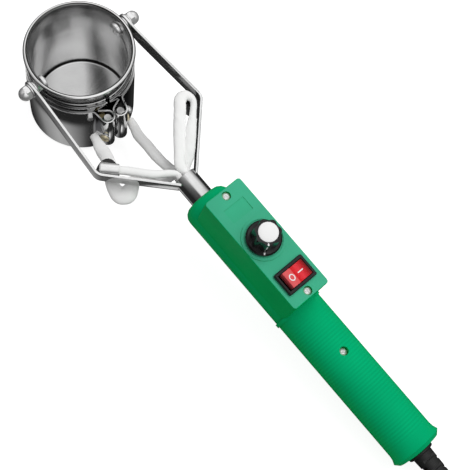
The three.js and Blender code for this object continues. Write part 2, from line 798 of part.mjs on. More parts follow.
function armCorners(side) {
  const tubeSide = tubeRadius + stripThickness / 2;
  const bend = new THREE.Vector2(bendPlace, side * bendSpread);
  const mouth = new THREE.Vector2(tubeMouth + stripThickness, side * tubeSide);
  const past = mouth.clone().sub(bend).normalize().multiplyScalar(tubeSide).add(mouth);
  return {
    end: new THREE.Vector2(-armOverhang, side * armSpacing),
    eye: new THREE.Vector2(armEyeLength, side * armSpacing),
    bend,
    past,
  };
}

function arm(side) {
  const strip = solid(bentSheet(armLine(side), stripThickness, -stripHeight / 2, stripHeight / 2));
  const bore = pivotBore(armSpacing - stripThickness, armSpacing + stripThickness);
  const cope = solid(rodAlongX(tubeRadius + seatGap, tubeMouth - tubeRadius, tubeMouth + 4 * tubeRadius));
  return strip.subtract(side > 0 ? bore : bore.rotate([0, 0, 180])).subtract(cope).subtract(armEndTrim());
}

function armEndTrim() {
  // What is cut off the square end of a strip to leave a half circle
  const half = stripHeight / 2;
  const turn = half - armOverhang;
  const reach = armSpacing + 2 * stripThickness;
  const square = solid(block(turn - stripHeight, turn, -reach, reach, -stripHeight, stripHeight));
  const round = turnedAlongY([[-reach, 0], [-reach, half], [reach, half], [reach, 0]], coarseSegments);
  return square.subtract(solid(round.translate(turn, 0, 0)));
}

function rodAlongX(radius, from, to, segments = coarseSegments) {
  return turnedAlongX([[from, 0], [from, radius], [to, radius], [to, 0]], segments);
}

function tube() {
  const outer = solid(rodAlongX(tubeRadius, tubeMouth, tubeEnd));
  const bore = solid(rodAlongX(tubeRadius - tubeWall, tubeMouth - cutOverrun, tubeEnd + cutOverrun));
  const cross = solid(rod(handleScrewRadius + holeClearance, -tubeRadius - cutOverrun, tubeRadius + cutOverrun));
  return outer.subtract(bore).subtract(cross.translate([frontScrewPlace, 0, 0]));
}

function armFrame(side) {
  // Along the second run of the arm from its bend, and inwards from its inner face
  const { bend, past } = armCorners(side);
  const along = past.clone().sub(bend).normalize();
  const inward = new THREE.Vector2(along.y, -along.x).multiplyScalar(side);
  return (distance, offset, height) => {
    const spot = bend.clone().addScaledVector(along, distance).addScaledVector(inward, offset);
    return new THREE.Vector3(spot.x, spot.y, height);
  };
}

function armLine(side) {
  const { end, eye, bend, past } = armCorners(side);
  return [end, eye, ...roundedCorner(eye, bend, past, stripBendRadius, 5), past];
}

function cableTab(side) {
  // A half-round plate inside the bend, cut back to clear the strip it is welded to
  const at = armFrame(side);
  const outline = [];
  for (let i = 0; i <= 12; i++) {
    const angle = Math.PI * i / 12;
    const spot = at(tabPlace - tabHalfLength * Math.cos(angle), tabReach * Math.sin(angle), 0);
    outline.push(new THREE.Vector2(spot.x, spot.y));
  }
  const plate = new THREE.ExtrudeGeometry(new THREE.Shape(outline), { depth: tabThickness, bevelEnabled: false });
  const strip = bentSheet(armLine(side), stripThickness + 2 * seatGap, -stripHeight, stripHeight);
  return largest(solid(plate.translate(0, 0, -tabThickness)).subtract(solid(strip)));
}

function largest(body) {
  const bodies = body.decompose();
  return bodies.reduce((most, other) => (other.volume() > most.volume() ? other : most));
}

const sleeveLevel = seatGap + clipWall + seatGap + sleeveRadius;
const sleeveAside = stripThickness / 2 + 2 * seatGap + clipWall + sleeveRadius;

function mouthSlot(slot, depth) {
  // Five sleeves share the mouth of the tube, counted round from the right
  const out = tubeRadius - tubeWall - seatGap - sleeveMouthRadius;
  const angle = slot / 5 * 2 * Math.PI;
  return { at: new THREE.Vector3(tubeMouth + depth, out * Math.cos(angle), out * Math.sin(angle)),
    radius: sleeveMouthRadius };
}

function cableClip() {
  // The crimped clip that holds the earth sleeve beside the left arm
  const at = armFrame(-1);
  const start = at(clipPlace, sleeveAside, sleeveLevel);
  const end = at(clipPlace + clipLength, sleeveAside, sleeveLevel);
  const inner = sleeveRadius + seatGap;
  const profile = [[0, inner], [0, inner + clipWall], [clipLength, inner + clipWall], [clipLength, inner],
    [0, inner]];
  const turn = Math.atan2(end.y - start.y, end.x - start.x);
  return solid(turnedAlongX(profile, smallSegments).rotateZ(turn).translate(start.x, start.y, start.z));
}

// Routes of the sleeves in the leaning frame, with the radius at each point

function spot(x, y, z, radius = sleeveRadius) {
  return { at: new THREE.Vector3(x, y, z), radius };
}

function leadRoute(side, shares, slot, slotLead) {
  // From the terminal to the tube, by the stops of its table
  const start = uprightToLean(lugEnd(side));
  const stops = shares.map(([way, aside, height, size]) => spot(THREE.MathUtils.lerp(start.x, tubeMouth, way),
    aside * bendSpread, height * pivotHeight, size * sleeveRadius));
  return [
    { at: start, radius: sleeveRadius },
    ...stops,
    mouthSlot(slot, -slotLead),
    mouthSlot(slot, slotStart),
    mouthSlot(slot, sleeveMouthDepth),
  ];
}

function lugEnd(side) {
  // Beside the end of the lug's tail, where the sleeve begins, in the cup's frame
  const aside = coverThickness / 2 + 2 * seatGap + lugThickness + sleeveRadius;
  const turn = lugTailTurn(side);
  const end = new THREE.Vector3(lugTailLength * Math.cos(turn), lugTailLength * Math.sin(turn), aside)
    .applyMatrix4(terminalPlace(side));
  return end.applyAxisAngle(new THREE.Vector3(0, 0, 1), heaterTurn);
}

function armRun() {
  // Length of the second run of an arm, from the bend to the tube's mouth
  const { bend } = armCorners(1);
  return Math.hypot(tubeMouth + stripThickness - bend.x, bend.y - tubeRadius - stripThickness / 2);
}

function earthLeftRoute() {
  // From the clip inside the left bend along the arm to the tube
  const at = armFrame(-1);
  const stops = earthLeftShares.map((share) => ({ at: at(share * armRun(), sleeveAside, sleeveLevel),
    radius: sleeveRadius }));
  return [
    ...stops,
    mouthSlot(2, -slotLeadLeft),
    mouthSlot(2, slotStart),
    mouthSlot(2, sleeveMouthDepth),
  ];
}

function earthRightRoute() {
  // From the tube up to the right bend, round in a tight turn and back beside the arm to the tube
  const at = armFrame(1);
  const stops = (shares) => shares.map(([way, radii, size]) => ({
    at: at(way * armRun(), radii * sleeveRadius, sleeveLevel), radius: size * sleeveRadius }));
  return [
    mouthSlot(1, sleeveMouthDepth),
    mouthSlot(1, slotStart),
    ...stops(earthOutShares),
    ...stops(earthBackShares),
    { at: at(earthLastShare * armRun(), 1.95 * sleeveRadius, earthLastLevel), radius: sleeveRadius },
    mouthSlot(0, -2 * slotStart),
    mouthSlot(0, 2 * slotStart),
    mouthSlot(0, sleeveMouthDepth),
  ];
}

function sleeve(route) {
  // Sampled along the smooth curve, each ring with the radius of its place on the route
  const curve = new THREE.CatmullRomCurve3(route.map((stop) => stop.at), false, 'centripetal');
  const steps = Math.round(curve.getLength() / sleeveStep);
  const points = [];
  const radii = [];
  for (let i = 0; i <= steps; i++) {
    const share = curve.getUtoTmapping(i / steps);
    const run = share * (route.length - 1);
    const stop = Math.min(Math.floor(run), route.length - 2);
    points.push(curve.getPoint(share));
    radii.push(THREE.MathUtils.lerp(route[stop].radius, route[stop + 1].radius, run - stop));
  }
  return solid(sweptTube(points, radii, cordSides));
}

// Handle

function handleOutline(inset) {
  // Half section of the round body, inset for the cavity
  const flare = flangeRadius - handleRadius;
  const points = [];
  const noseRise = handleRadius - noseFaceRadius;
  const front = handleFront + inset;
  const end = handleEnd - inset;
  points.push([front, 0], [front, noseFaceRadius - inset]);
  for (let i = 1; i <= noseSteps; i++) {
    const angle = i / noseSteps * Math.PI / 2;
    points.push([front + (noseLength - inset) * (1 - Math.cos(angle)),
      noseFaceRadius - inset + noseRise * Math.sin(angle)]);
  }
  if (inset === 0) {
    points.push([gripStepPlace, handleRadius], [gripStepPlace, handleRadius + gripStepHeight]);
    points.push([gripStepPlace + gripStepWidth, handleRadius + gripStepHeight]);
    points.push([gripStepPlace + gripStepWidth, handleRadius]);
  }
  points.push([flareStart, handleRadius - inset]);
  for (let i = 1; i <= flareSteps; i++) {
    const share = i / flareSteps;
    points.push([flareStart + (flangePlace - flareStart) * share, handleRadius - inset + flare * share * share]);
  }
  const taper = end - flangePlace;
  for (let i = 1; i <= flareSteps; i++) {
    const angle = i / flareSteps * Math.PI / 2;
    points.push([flangePlace + taper * Math.sin(angle),
      handleEndRadius - inset + (flangeRadius - handleEndRadius) * Math.cos(angle)]);
  }
  points.push([end, 0]);
  return points;
}

function controlBox() {
  const shape = roundedRectangle(boxRear - boxFront - 2 * boxTopBevel, boxWidth - 2 * boxTopBevel, boxEdgeRadius);
  const box = new THREE.ExtrudeGeometry(shape, { depth: boxTop - boxTopBevel, bevelThickness: boxTopBevel,
    bevelSize: boxTopBevel, bevelSegments: 2, curveSegments: cornerSegments });
  return solid(box.translate((boxFront + boxRear) / 2, 0, 0));
}

function handleScrews() {
  // Place along the handle, height of the head's seat and depth of the pocket's top
  return [
    { name: 'face_screw_front', place: frontScrewPlace, top: boxTop, depth: facePocketDepth },
    { name: 'face_screw_rear', place: rearScrewPlace, top: boxTop, depth: facePocketDepth },
    { name: 'grip_screw', place: gripScrewPlace, top: handleRadius, depth: gripPocketDepth },
  ];
}

function screwSeat(screw) {
  return screw.top - screw.depth - handleScrewHeadHeight;
}

function handleSolid() {
  const outer = solid(turnedAlongX(handleOutline(0), fineSegments)).add(controlBox());
  const roomWidth = boxWidth / 2 - handleWall;
  const room = solid(block(boxFront + handleWall, boxRear - handleWall, -roomWidth, roomWidth, 0, faceInner));
  const cavity = solid(turnedAlongX(handleOutline(handleWall), cavitySegments)).add(room);
  let shell = outer.subtract(cavity);

  const ribSpan = tubeEnd - handleFront - rodRibThickness;
  for (const share of rodRibPlaceShares) {
    const x = handleFront + ribSpan * share;
    const inner = tubeRadius + seatGap;
    const outerRadius = handleRadius - handleWall / 2;
    const rib = solid(turnedAlongX([[x, inner], [x, outerRadius], [x + rodRibThickness, outerRadius],
      [x + rodRibThickness, inner], [x, inner]], cavitySegments));
    const underBoard = block(x, x + rodRibThickness, -outerRadius, outerRadius, -outerRadius, boardHeight - 2 * seatGap);
    shell = shell.add(rib.intersect(solid(underBoard)));
  }

  for (const screw of handleScrews()) {
    const boss = solid(rod(bossRadius, -handleRadius + handleWall / 2, screw.top - handleWall / 2));
    shell = shell.add(boss.translate([screw.place, 0, 0]));
  }

  const ringLow = boxTop - handleWall / 2;
  const ringInner = dialRingRadius - dialRingWidth;
  shell = shell.add(solid(ring(ringInner, dialRingRadius, ringLow, boxTop + dialRingHeight, fineSegments))
    .translate([dialPlace, 0, 0]));
  return shell;
}

function handleCuts() {
  const cuts = [];
  cuts.push(solid(rodAlongX(tubeRadius + seatGap, handleFront - cutOverrun, tubeEnd + seatGap)));
  cuts.push(solid(rodAlongX(reliefNeckRadius + seatGap, handleEnd - handleWall - cutOverrun, handleEnd + cutOverrun)));
  for (const screw of handleScrews()) {
    const seat = screwSeat(screw) - seatGap;
    cuts.push(solid(rod(handleScrewPocket, seat, screw.top + cutOverrun)).translate([screw.place, 0, 0]));
    const hole = handleScrewRadius + seatGap;
    cuts.push(solid(rod(hole, -screwBite - seatGap, seat + cutOverrun)).translate([screw.place, 0, 0]));
  }
  cuts.push(solid(rod(bushingRadius + seatGap, faceInner - cutOverrun, boxTop + cutOverrun))
    .translate([dialPlace, 0, 0]));
  const x = switchBodyWidth / 2 + seatGap;
  const y = switchBodyLength / 2 + seatGap;
  cuts.push(solid(block(switchPlace - x, switchPlace + x, -y, y, faceInner - cutOverrun, boxTop + cutOverrun)));
  cuts.push(solid(block(labelPlace - labelLength / 2, labelPlace + labelLength / 2, -labelWidth / 2, labelWidth / 2,
    boxTop - labelDepth, boxTop + cutOverrun)));
  return joined(cuts);
}

function boardPosts() {
  const posts = [];
  const low = -handleRadius + handleWall / 2;
  for (const x of [boardFront + boardLength - boardPostInset, tubeEnd + 2 * boardPostRadius + seatGap]) {
    for (const side of [-1, 1]) {
      const y = side * (boardWidth / 2 - boardPostInset);
      posts.push(solid(rod(boardPostRadius, low, boardHeight - seatGap)).translate([x, y, 0]));
    }
  }
  return joined(posts);
}

function handleShells() {
  const cut = handleSolid().subtract(handleCuts());
  const reach = 2 * flangeRadius + boxTop;
  const upperHalf = solid(block(0, 2 * handleEnd, -reach, reach, seatGap / 2, reach));
  const lowerHalf = solid(block(0, 2 * handleEnd, -reach, reach, -reach, -seatGap / 2));
  const round = solid(turnedAlongX(handleOutline(handleWall / 2), coarseSegments));
  const feet = boardPosts().intersect(round);
  return {
    upper: cut.intersect(upperHalf),
    lower: cut.intersect(lowerHalf).add(feet),
  };
}

function handleScrew(screw) {
  const seat = screwSeat(screw);
  const top = seat + handleScrewHeadHeight;
  const profile = [[0, -screwBite], [handleScrewRadius, -screwBite], [handleScrewRadius, seat],
    [handleScrewHeadRadius, seat], [handleScrewHeadRadius, top - handleScrewHeadHeight * 0.35],
    [handleScrewHeadRadius * 0.75, top], [0, top]];
  let body = solid(turned(profile, smallSegments));
  const arm = handleScrewHeadRadius * crossRecessLengthShare;
  const half = crossRecessWidth / 2;
  body = body.subtract(solid(block(-arm, arm, -half, half, top - crossRecessDepth, top + cutOverrun)));
  body = body.subtract(solid(block(-half, half, -arm, arm, top - crossRecessDepth, top + cutOverrun)));
  return body.translate([screw.place, 0, 0]);
}

// Dial and potentiometer

function knob() {
  const low = boxTop + dialGap;
  const skirtTop = low + skirtHeight;
  const top = low + knobHeight;
  const skirt = solid(turned([[0, low], [skirtRadius, low], [skirtRadius, skirtTop - skirtEdge],
    [skirtRadius - skirtEdge, skirtTop], [0, skirtTop]], fineSegments));
  const outline = [];
  const around = gripFluteCount * fluteSteps;
  for (let i = 0; i < around; i++) {
    const angle = 2 * Math.PI * i / around;
    const wave = fluteDepth * (0.5 - 0.5 * Math.cos(gripFluteCount * angle));
    const radius = knobBaseRadius - wave;
    outline.push(new THREE.Vector2(radius * Math.cos(angle), radius * Math.sin(angle)));
  }
  const column = new THREE.ExtrudeGeometry(new THREE.Shape(outline), { depth: top - skirtTop, bevelEnabled: false });
  const place = column.getAttribute('position');
  for (let i = 0; i < place.count; i++) {
    const rise = place.getZ(i) / (top - skirtTop);
    const taper = 1 + (knobTopRadius / knobBaseRadius - 1) * rise;
    place.setXY(i, place.getX(i) * taper, place.getY(i) * taper);
  }
  const grip = solid(column.rotateZ(pointerAngle).translate(0, 0, skirtTop - seatGap));
  const well = solid(rod(capRadius + seatGap, top - capInset - seatGap, top + cutOverrun, coarseSegments));
  const bore = solid(shaftShape(boxTop, low + shaftInKnob + seatGap, seatGap));
  return skirt.add(grip).subtract(well).subtract(bore).translate([dialPlace, 0, 0]);
}

function shaftShape(low, high, gap) {
  const radius = shaftRadius + gap;
  const points = arcPoints(new THREE.Vector2(), radius, 0, 2 * Math.PI * (1 - 1 / smallSegments), smallSegments - 1);
  const flat = shaftRadius - shaftFlatDepth + gap;
  const shape = new THREE.Shape(points.map((p) => new THREE.Vector2(Math.min(p.x, flat), p.y)));
  return new THREE.ExtrudeGeometry(shape, { depth: high - low, bevelEnabled: false }).translate(0, 0, low);
}

function knobCap() {
  const top = boxTop + dialGap + knobHeight;
  const low = top - capInset;
  const profile = [[0, low], [capRadius, low], [capRadius, top + capDomeHeight * 0.4],
    [capRadius * 0.9, top + capDomeHeight * 0.8], [capRadius * 0.55, top + capDomeHeight], [0, top + capDomeHeight]];
  return solid(turned(profile, coarseSegments)).translate([dialPlace, 0, 0]);
}

function knobPointer() {
  // A white line laid on the skirt, from the grip to the edge
  const low = boxTop + dialGap + skirtHeight + seatGap / 10;
  const line = block(knobBaseRadius + seatGap, skirtRadius - skirtEdge, -pointerWidth / 2, pointerWidth / 2,
    low, low + pointerThickness);
  return solid(line.rotateZ(pointerAngle)).translate([dialPlace, 0, 0]);
}

function potShaft() {
  const low = faceInner - seatGap;
  return solid(shaftShape(low, boxTop + dialGap + shaftInKnob, 0)).translate([dialPlace, 0, 0]);
}

function potentiometer() {
  const top = faceInner - seatGap;
  const low = top - potBodyHeight;
  const can = solid(rod(potBodyRadius, low, top, coarseSegments));
  const bushing = solid(rod(bushingRadius, top - cutOverrun, boxTop + bushingRise));
  const bore = solid(rod(shaftRadius + seatGap, top - seatGap, boxTop + bushingRise + cutOverrun));
  const lugs = [-1, 0, 1].map((i) => solid(block(potBodyRadius / 2, potBodyRadius + potLugLength,
    i * potLugPitch - potLugWidth / 2, i * potLugPitch + potLugWidth / 2, low, low + potLugThickness)));
  const cut = solid(rod(shaftRadius + seatGap, top - 2 * seatGap, top + cutOverrun));
  return joined([can, bushing, ...lugs]).subtract(bore).subtract(cut).translate([dialPlace, 0, 0]);
}

// Rocker switch

function switchHousing() {
  const bezel = new THREE.ExtrudeGeometry(roundedRectangle(bezelWidth - 2 * bezelBevel, bezelLength - 2 * bezelBevel,
    bezelBevel), { depth: bezelHeight - bezelBevel, bevelThickness: bezelBevel, bevelSize: bezelBevel,
    bevelSegments: 1 });
  const frame = solid(bezel.translate(0, 0, seatGap)).subtract(solid(block(-bezelWidth, bezelWidth, -bezelLength,
    bezelLength, -bezelHeight, seatGap)));
  const x = switchBodyWidth / 2;
  const y = switchBodyLength / 2;
  const body = solid(block(-x, x, -y, y, -switchBodyDepth, bezelHeight / 2));
  const roomX = rockerWidth / 2 + rockerClearance;
  const roomY = rockerLength / 2 + rockerSwing;
  const room = solid(block(-roomX, roomX, -roomY, roomY, -rockerPivotDepth - rockerBelly - rockerClearance,
    bezelHeight + cutOverrun));
  const pinReach = roomX + rockerPinBite;
  const pins = solid(rodAlongX(rockerPinRadius + seatGap, -pinReach, pinReach, smallSegments))
    .translate([0, 0, -rockerPivotDepth]);
  const tags = [-1, 0, 1].map((i) => solid(block(-tagWidth / 2, tagWidth / 2, i * tagPitch - tagThickness / 2,
    i * tagPitch + tagThickness / 2, -switchBodyDepth - tagLength, -switchBodyDepth + cutOverrun)));
  return joined([frame, body, ...tags]).subtract(room).subtract(pins).translate([switchPlace, 0, boxTop]);
}

function rocker() {
  // Two faces that meet in a valley, over a round belly on a cross pin
  const half = rockerLength / 2;
  const outline = [new THREE.Vector2(half, rockerCrest), new THREE.Vector2(0, rockerValley),
    new THREE.Vector2(-half, rockerCrest), new THREE.Vector2(-half, -rockerPivotDepth / 2)];
  for (let i = 1; i < 8; i++) {
    const angle = Math.PI * i / 8;
    outline.push(new THREE.Vector2(-half * Math.cos(angle) * 0.92,
      -rockerPivotDepth / 2 - (rockerBelly + rockerPivotDepth / 2) * Math.sin(angle)));
  }
  outline.push(new THREE.Vector2(half, -rockerPivotDepth / 2));
  const shape = new THREE.Shape(outline);
  const body = new THREE.ExtrudeGeometry(shape, { depth: rockerWidth, bevelEnabled: false });
  // The outline's first axis runs along Y, its second along Z and its depth along X
  body.translate(0, 0, -rockerWidth / 2);
  const axes = new THREE.Matrix4().makeBasis(new THREE.Vector3(0, 1, 0), new THREE.Vector3(0, 0, 1),
    new THREE.Vector3(1, 0, 0));
  body.applyMatrix4(axes);
  const reach = rockerWidth / 2 + rockerClearance + rockerPinBite - seatGap;
  const pin = solid(rodAlongX(rockerPinRadius, -reach, reach, smallSegments));
  const low = solid(body.translate(0, 0, rockerPivotDepth)).add(pin);
  const tilt = THREE.MathUtils.radToDeg(rockerTravel / 2);
  return low.rotate([-tilt, 0, 0]).translate([switchPlace, 0, boxTop - rockerPivotDepth]);
}

// Control board

function controlBoard() {
  const low = boardHeight;
  const top = low + boardThickness;
  const half = boardWidth / 2;
  const board = solid(block(boardFront, boardFront + boardLength, -half, half, low, top));
  const capacitor = solid(rod(capacitorRadius, top - seatGap, top + capacitorHeight))
    .translate([boardFront + boardLength * 0.16, half - capacitorRadius - boardThickness, 0]);
  const triacPlace = boardFront + boardLength * 0.3;
  const triac = solid(block(triacPlace - triacThickness / 2, triacPlace + triacThickness / 2,
    -triacWidth / 2 - boardPostInset, triacWidth / 2 - boardPostInset, top - seatGap, top + triacHeight));
  return joined([board, capacitor, triac]);
}

// Strain relief

function strainRelief() {
  const flange = handleEnd + seatGap;
  const base = flange + reliefFlangeThickness;
  const tip = base + reliefLength;
  const lock = handleEnd - handleWall - seatGap;
  const profile = [[lock - reliefLockThickness, 0], [lock - reliefLockThickness, reliefLockRadius],
    [lock, reliefLockRadius], [lock, reliefNeckRadius], [flange, reliefNeckRadius], [flange, reliefFlangeRadius],
    [base - reliefFlangeThickness / 3, reliefFlangeRadius], [base, reliefFlangeRadius - reliefFlangeThickness / 3],
    [base, reliefBaseRadius], [tip, reliefTipRadius], [tip, 0]];
  let body = solid(turnedAlongX(profile, coarseSegments));
  const bore = solid(rodAlongX(cordRadius + seatGap, tip - reliefBoreDepth, tip + cutOverrun, smallSegments));
  body = body.subtract(bore);
  // Slots from four sides in turn, so that rings are left, joined by a ladder
  const firstSlot = base + slotPitch;
  for (let i = 0; i < slotCount; i++) {
    const x = firstSlot + i * slotPitch;
    const radius = reliefBaseRadius + (reliefTipRadius - reliefBaseRadius) * (x - base) / reliefLength;
    const wall = radius * (1 - slotWallShare);
    const deep = Math.min(wall, radius - (radius - cordRadius - seatGap) * 0.65);
    const far = reliefFlangeRadius + cutOverrun;
    const reach = reliefFlangeRadius;
    for (const side of [-1, 1]) {
      const cut = block(x, x + slotWidth, -reach, reach, deep, far);
      const turn = (i % 2 === 0 ? 0 : Math.PI / 2) + (side > 0 ? 0 : Math.PI);
      body = body.subtract(solid(cut.rotateX(turn)));
    }
  }
  return body;
}

function reliefTip() {
  return handleEnd + seatGap + reliefFlangeThickness + reliefLength;
}

// Mains cord, on the bench

function cordStart() {
  return benchPoint(new THREE.Vector3(reliefTip() - reliefBoreDepth + seatGap, 0, 0));
}

function coilStart() {
  const outer = coilOuterRadius;
  return new THREE.Vector3(coilPlace.x + outer * Math.cos(coilStartAngle),
    coilPlace.y + outer * Math.sin(coilStartAngle), cordRadius);
}

function cordRoute() {
  // Out of the strain relief, down to the bench and on to the coil
  const straight = benchPoint(new THREE.Vector3(reliefTip() + cordDiameter, 0, 0));
  const end = coilStart();
  const last = new THREE.Vector3(end.x - cordDiameter - seatGap, end.y, cordRadius);
  const stops = cordShares.map(([way, aside, height]) => new THREE.Vector3(
    THREE.MathUtils.lerp(straight.x, last.x, way), aside * last.y,
    THREE.MathUtils.lerp(cordRadius, straight.z, height)));
  return [cordStart(), straight, ...stops, last, new THREE.Vector3(end.x - seatGap, end.y, cordRadius)];
}

function coilPoints() {
  // Spirals in on the bench, climbs in half a turn at the middle, and spirals out
  const tailTurns = (coilTailAngle - coilStartAngle) / (2 * Math.PI);
  const total = 2 * coilTurnsPerLayer + tailTurns;
  const steps = Math.round(total * coilStepsPerTurn);
  const points = [];
  for (let i = 0; i <= steps; i++) {
    const turn = total * i / steps;
    const fromMiddle = Math.abs(turn - coilTurnsPerLayer);
    const radius = coilOuterRadius - coilPitch * (coilTurnsPerLayer - fromMiddle);
    const climbStart = coilTurnsPerLayer - coilClimbTurns / 2;
    const rise = THREE.MathUtils.smoothstep(turn, climbStart, climbStart + coilClimbTurns);
    const angle = coilStartAngle + 2 * Math.PI * turn;
    points.push(new THREE.Vector3(coilPlace.x + radius * Math.cos(angle),
      coilPlace.y + radius * Math.sin(angle), cordRadius + coilLayerRise * rise));
  }
  return points;
}

function sweptTube(points, radii, sides) {
  // One unbroken tube: a ring of corners across the path at each point, with flat ends
  const rings = points.length;
  const positions = [];
  const up = new THREE.Vector3(0, 0, 1);
  for (let i = 0; i < rings; i++) {
    const along = points[Math.min(i + 1, rings - 1)].clone().sub(points[Math.max(i - 1, 0)]).normalize();
    const aside = new THREE.Vector3().crossVectors(up, along).normalize();
    const above = new THREE.Vector3().crossVectors(along, aside);
    for (let k = 0; k < sides; k++) {
      const angle = 2 * Math.PI * (k + 0.5) / sides;
      const corner = points[i].clone().addScaledVector(aside, radii[i] * Math.cos(angle))
        .addScaledVector(above, radii[i] * Math.sin(angle));
      positions.push(corner.x, corner.y, corner.z);
    }
  }
  const order = [];
  for (let i = 0; i < rings - 1; i++) {
    for (let k = 0; k < sides; k++) {
      const a = i * sides + k;
      const b = i * sides + (k + 1) % sides;
      order.push(a, b, b + sides, a, b + sides, a + sides);
    }
  }
  for (let k = 1; k < sides - 1; k++) {
    order.push(0, k + 1, k);
    const last = (rings - 1) * sides;
    order.push(last, last + k, last + k + 1);
  }
  const geometry = new THREE.BufferGeometry();
  geometry.setAttribute('position', new THREE.Float32BufferAttribute(positions, 3));
  geometry.setIndex(order);
  return geometry;
}

function leastGap(points, radius) {
  // The smallest distance between turns that lie beside or over each other
  let least = Infinity;
  const apart = Math.round(coilStepsPerTurn / 2);
  for (let i = 0; i < points.length; i++) {
    for (let k = i + apart; k < points.length - 1; k++) {
      const line = new THREE.Line3(points[k], points[k + 1]);
      const near = line.closestPointToPoint(points[i], true, new THREE.Vector3());
      least = Math.min(least, near.distanceTo(points[i]));
    }
  }
  return least - 2 * radius;
}

function coilWithEnds() {
  // The coil's ends run straight for one diameter
  const points = coilPoints();
  const last = points[points.length - 1];
  const before = points[points.length - 2];
  const ahead = last.clone().sub(before).normalize();
  const lead = new THREE.Vector3(Math.cos(coilStartAngle + Math.PI / 2), Math.sin(coilStartAngle + Math.PI / 2), 0);
  const first = points[0].clone();
  return [first, first.clone().addScaledVector(lead, cordDiameter / 2), ...points.slice(1),
    last.clone().addScaledVector(ahead, cordDiameter)];
}

function tailRoute() {
  // From the top layer of the coil down to the bench and into the plug
  const coil = coilWithEnds();
  const end = coil[coil.length - 1];
  const before = coil[coil.length - 2];
  const ahead = end.clone().sub(before).normalize();
  const start = end.clone().addScaledVector(ahead, seatGap);
  return [start, ...tailShares.map(([reach, drop]) => start.clone().addScaledVector(ahead, reach * tailLength)
    .add(new THREE.Vector3(0, 0, -drop * coilLayerRise)))];
}

function plugFrame() {
  // Set at the end of the tail, with X along the cord and the flat side down
  const route = tailRoute();
  const end = route[route.length - 1];
  const before = route[route.length - 2];
  const ahead = end.clone().sub(before).setZ(0).normalize();
  const aside = new THREE.Vector3(-ahead.y, ahead.x, 0);
  const place = new THREE.Matrix4().makeBasis(ahead, aside, new THREE.Vector3(0, 0, 1));
  const start = end.clone().addScaledVector(ahead, seatGap);
  return place.setPosition(start.x, start.y, 0);
}

function plugBody() {
  const shape = new THREE.Shape(roundedRectangle(plugLength, plugWidth, plugWidth * 0.2).getPoints());
  const grip = new THREE.ExtrudeGeometry(shape, { depth: plugHeight - 2, bevelThickness: 1, bevelSize: 1,
    bevelOffset: -1, bevelSegments: 2 });
  const body = solid(grip.translate(plugNeckLength + plugLength / 2, 0, 1));
  const neck = solid(turnedAlongX([[0, 0], [0, cordRadius + 1], [plugNeckLength + 1, plugNeckRadius],
    [plugNeckLength + 1, 0]], smallSegments)).translate([0, 0, plugNeckRadius + seatGap]);
  let plug = body.add(neck);
  for (const side of [-1, 1]) {
    const bore = solid(rodAlongX(plugPinRadius + seatGap, plugNeckLength + plugLength - plugPinBite - seatGap,
      plugNeckLength + plugLength + cutOverrun, smallSegments));
    plug = plug.subtract(bore.translate([0, side * plugPinSpacing / 2, plugHeight / 2]));
  }
  return plug.transform(plugFrame().toArray());
}

function plugPin(side) {
  const start = plugNeckLength + plugLength - plugPinBite;
  const tip = start + plugPinBite + plugPinLength;
  const pin = solid(turnedAlongX([[start, 0], [start, plugPinRadius], [tip - plugPinRadius / 2, plugPinRadius],
    [tip, plugPinRadius / 2], [tip, 0]], smallSegments));
  return pin.translate([0, side * plugPinSpacing / 2, plugHeight / 2]).transform(plugFrame().toArray());
}

// Assembly

const solderPot = new THREE.Group();

const cupGroup = new THREE.Group();
cupGroup.position.z = pivotHeight;
cupGroup.add(piece('pot_cup', cup(), 'steel'));

const heaterGroup = new THREE.Group();
heaterGroup.rotation.z = heaterTurn;
const sheath = splitRing(sheathInner, sheathThickness, bandBottom, -sheathTopDepth, sheathSlitAngle, 0);
const strap = splitRing(strapInner, strapThickness, bandBottom, -strapTopDepth, strapSlitAngle, 0);
heaterGroup.add(piece('heater_sheath', sheath, 'steel'));
heaterGroup.add(piece('heater_strap', strap, 'steel'));
heaterGroup.add(piece('heater_cover', heaterCover(), 'darkSteel'));
heaterGroup.add(piece('clamp_screw', clampScrew(), 'darkSteel'));
for (const [word, side] of [['left', -1], ['right', 1]]) {
  heaterGroup.add(piece(`clamp_dowel_${word}`, clampDowel(side), 'steel'));
  heaterGroup.add(piece(`terminal_plate_${word}`, terminalPlate(side), 'brass'));
  heaterGroup.add(piece(`terminal_screw_${word}`, terminalScrew(side), 'brass'));
  heaterGroup.add(piece(`terminal_lug_${word}`, terminalLug(side), 'brass'));
}
cupGroup.add(heaterGroup);

for (const [word, turn] of [['left', Math.PI], ['right', 0]]) {
  const pivotGroup = new THREE.Group();
  pivotGroup.rotation.z = turn;
  pivotGroup.add(piece(`pivot_screw_${word}`, pivotScrew(), 'steel'));
  pivotGroup.add(piece(`pivot_nut_${word}`, pivotNut(), 'steel'));
  pivotGroup.add(piece(`pivot_washer_${word}`, pivotWasher(), 'steel'));
  pivotGroup.add(piece(`outer_washer_${word}`, outerWasher(), 'steel'));
  pivotGroup.add(piece(`dome_nut_${word}`, domeNut(), 'steel'));
  cupGroup.add(pivotGroup);
}
solderPot.add(cupGroup);

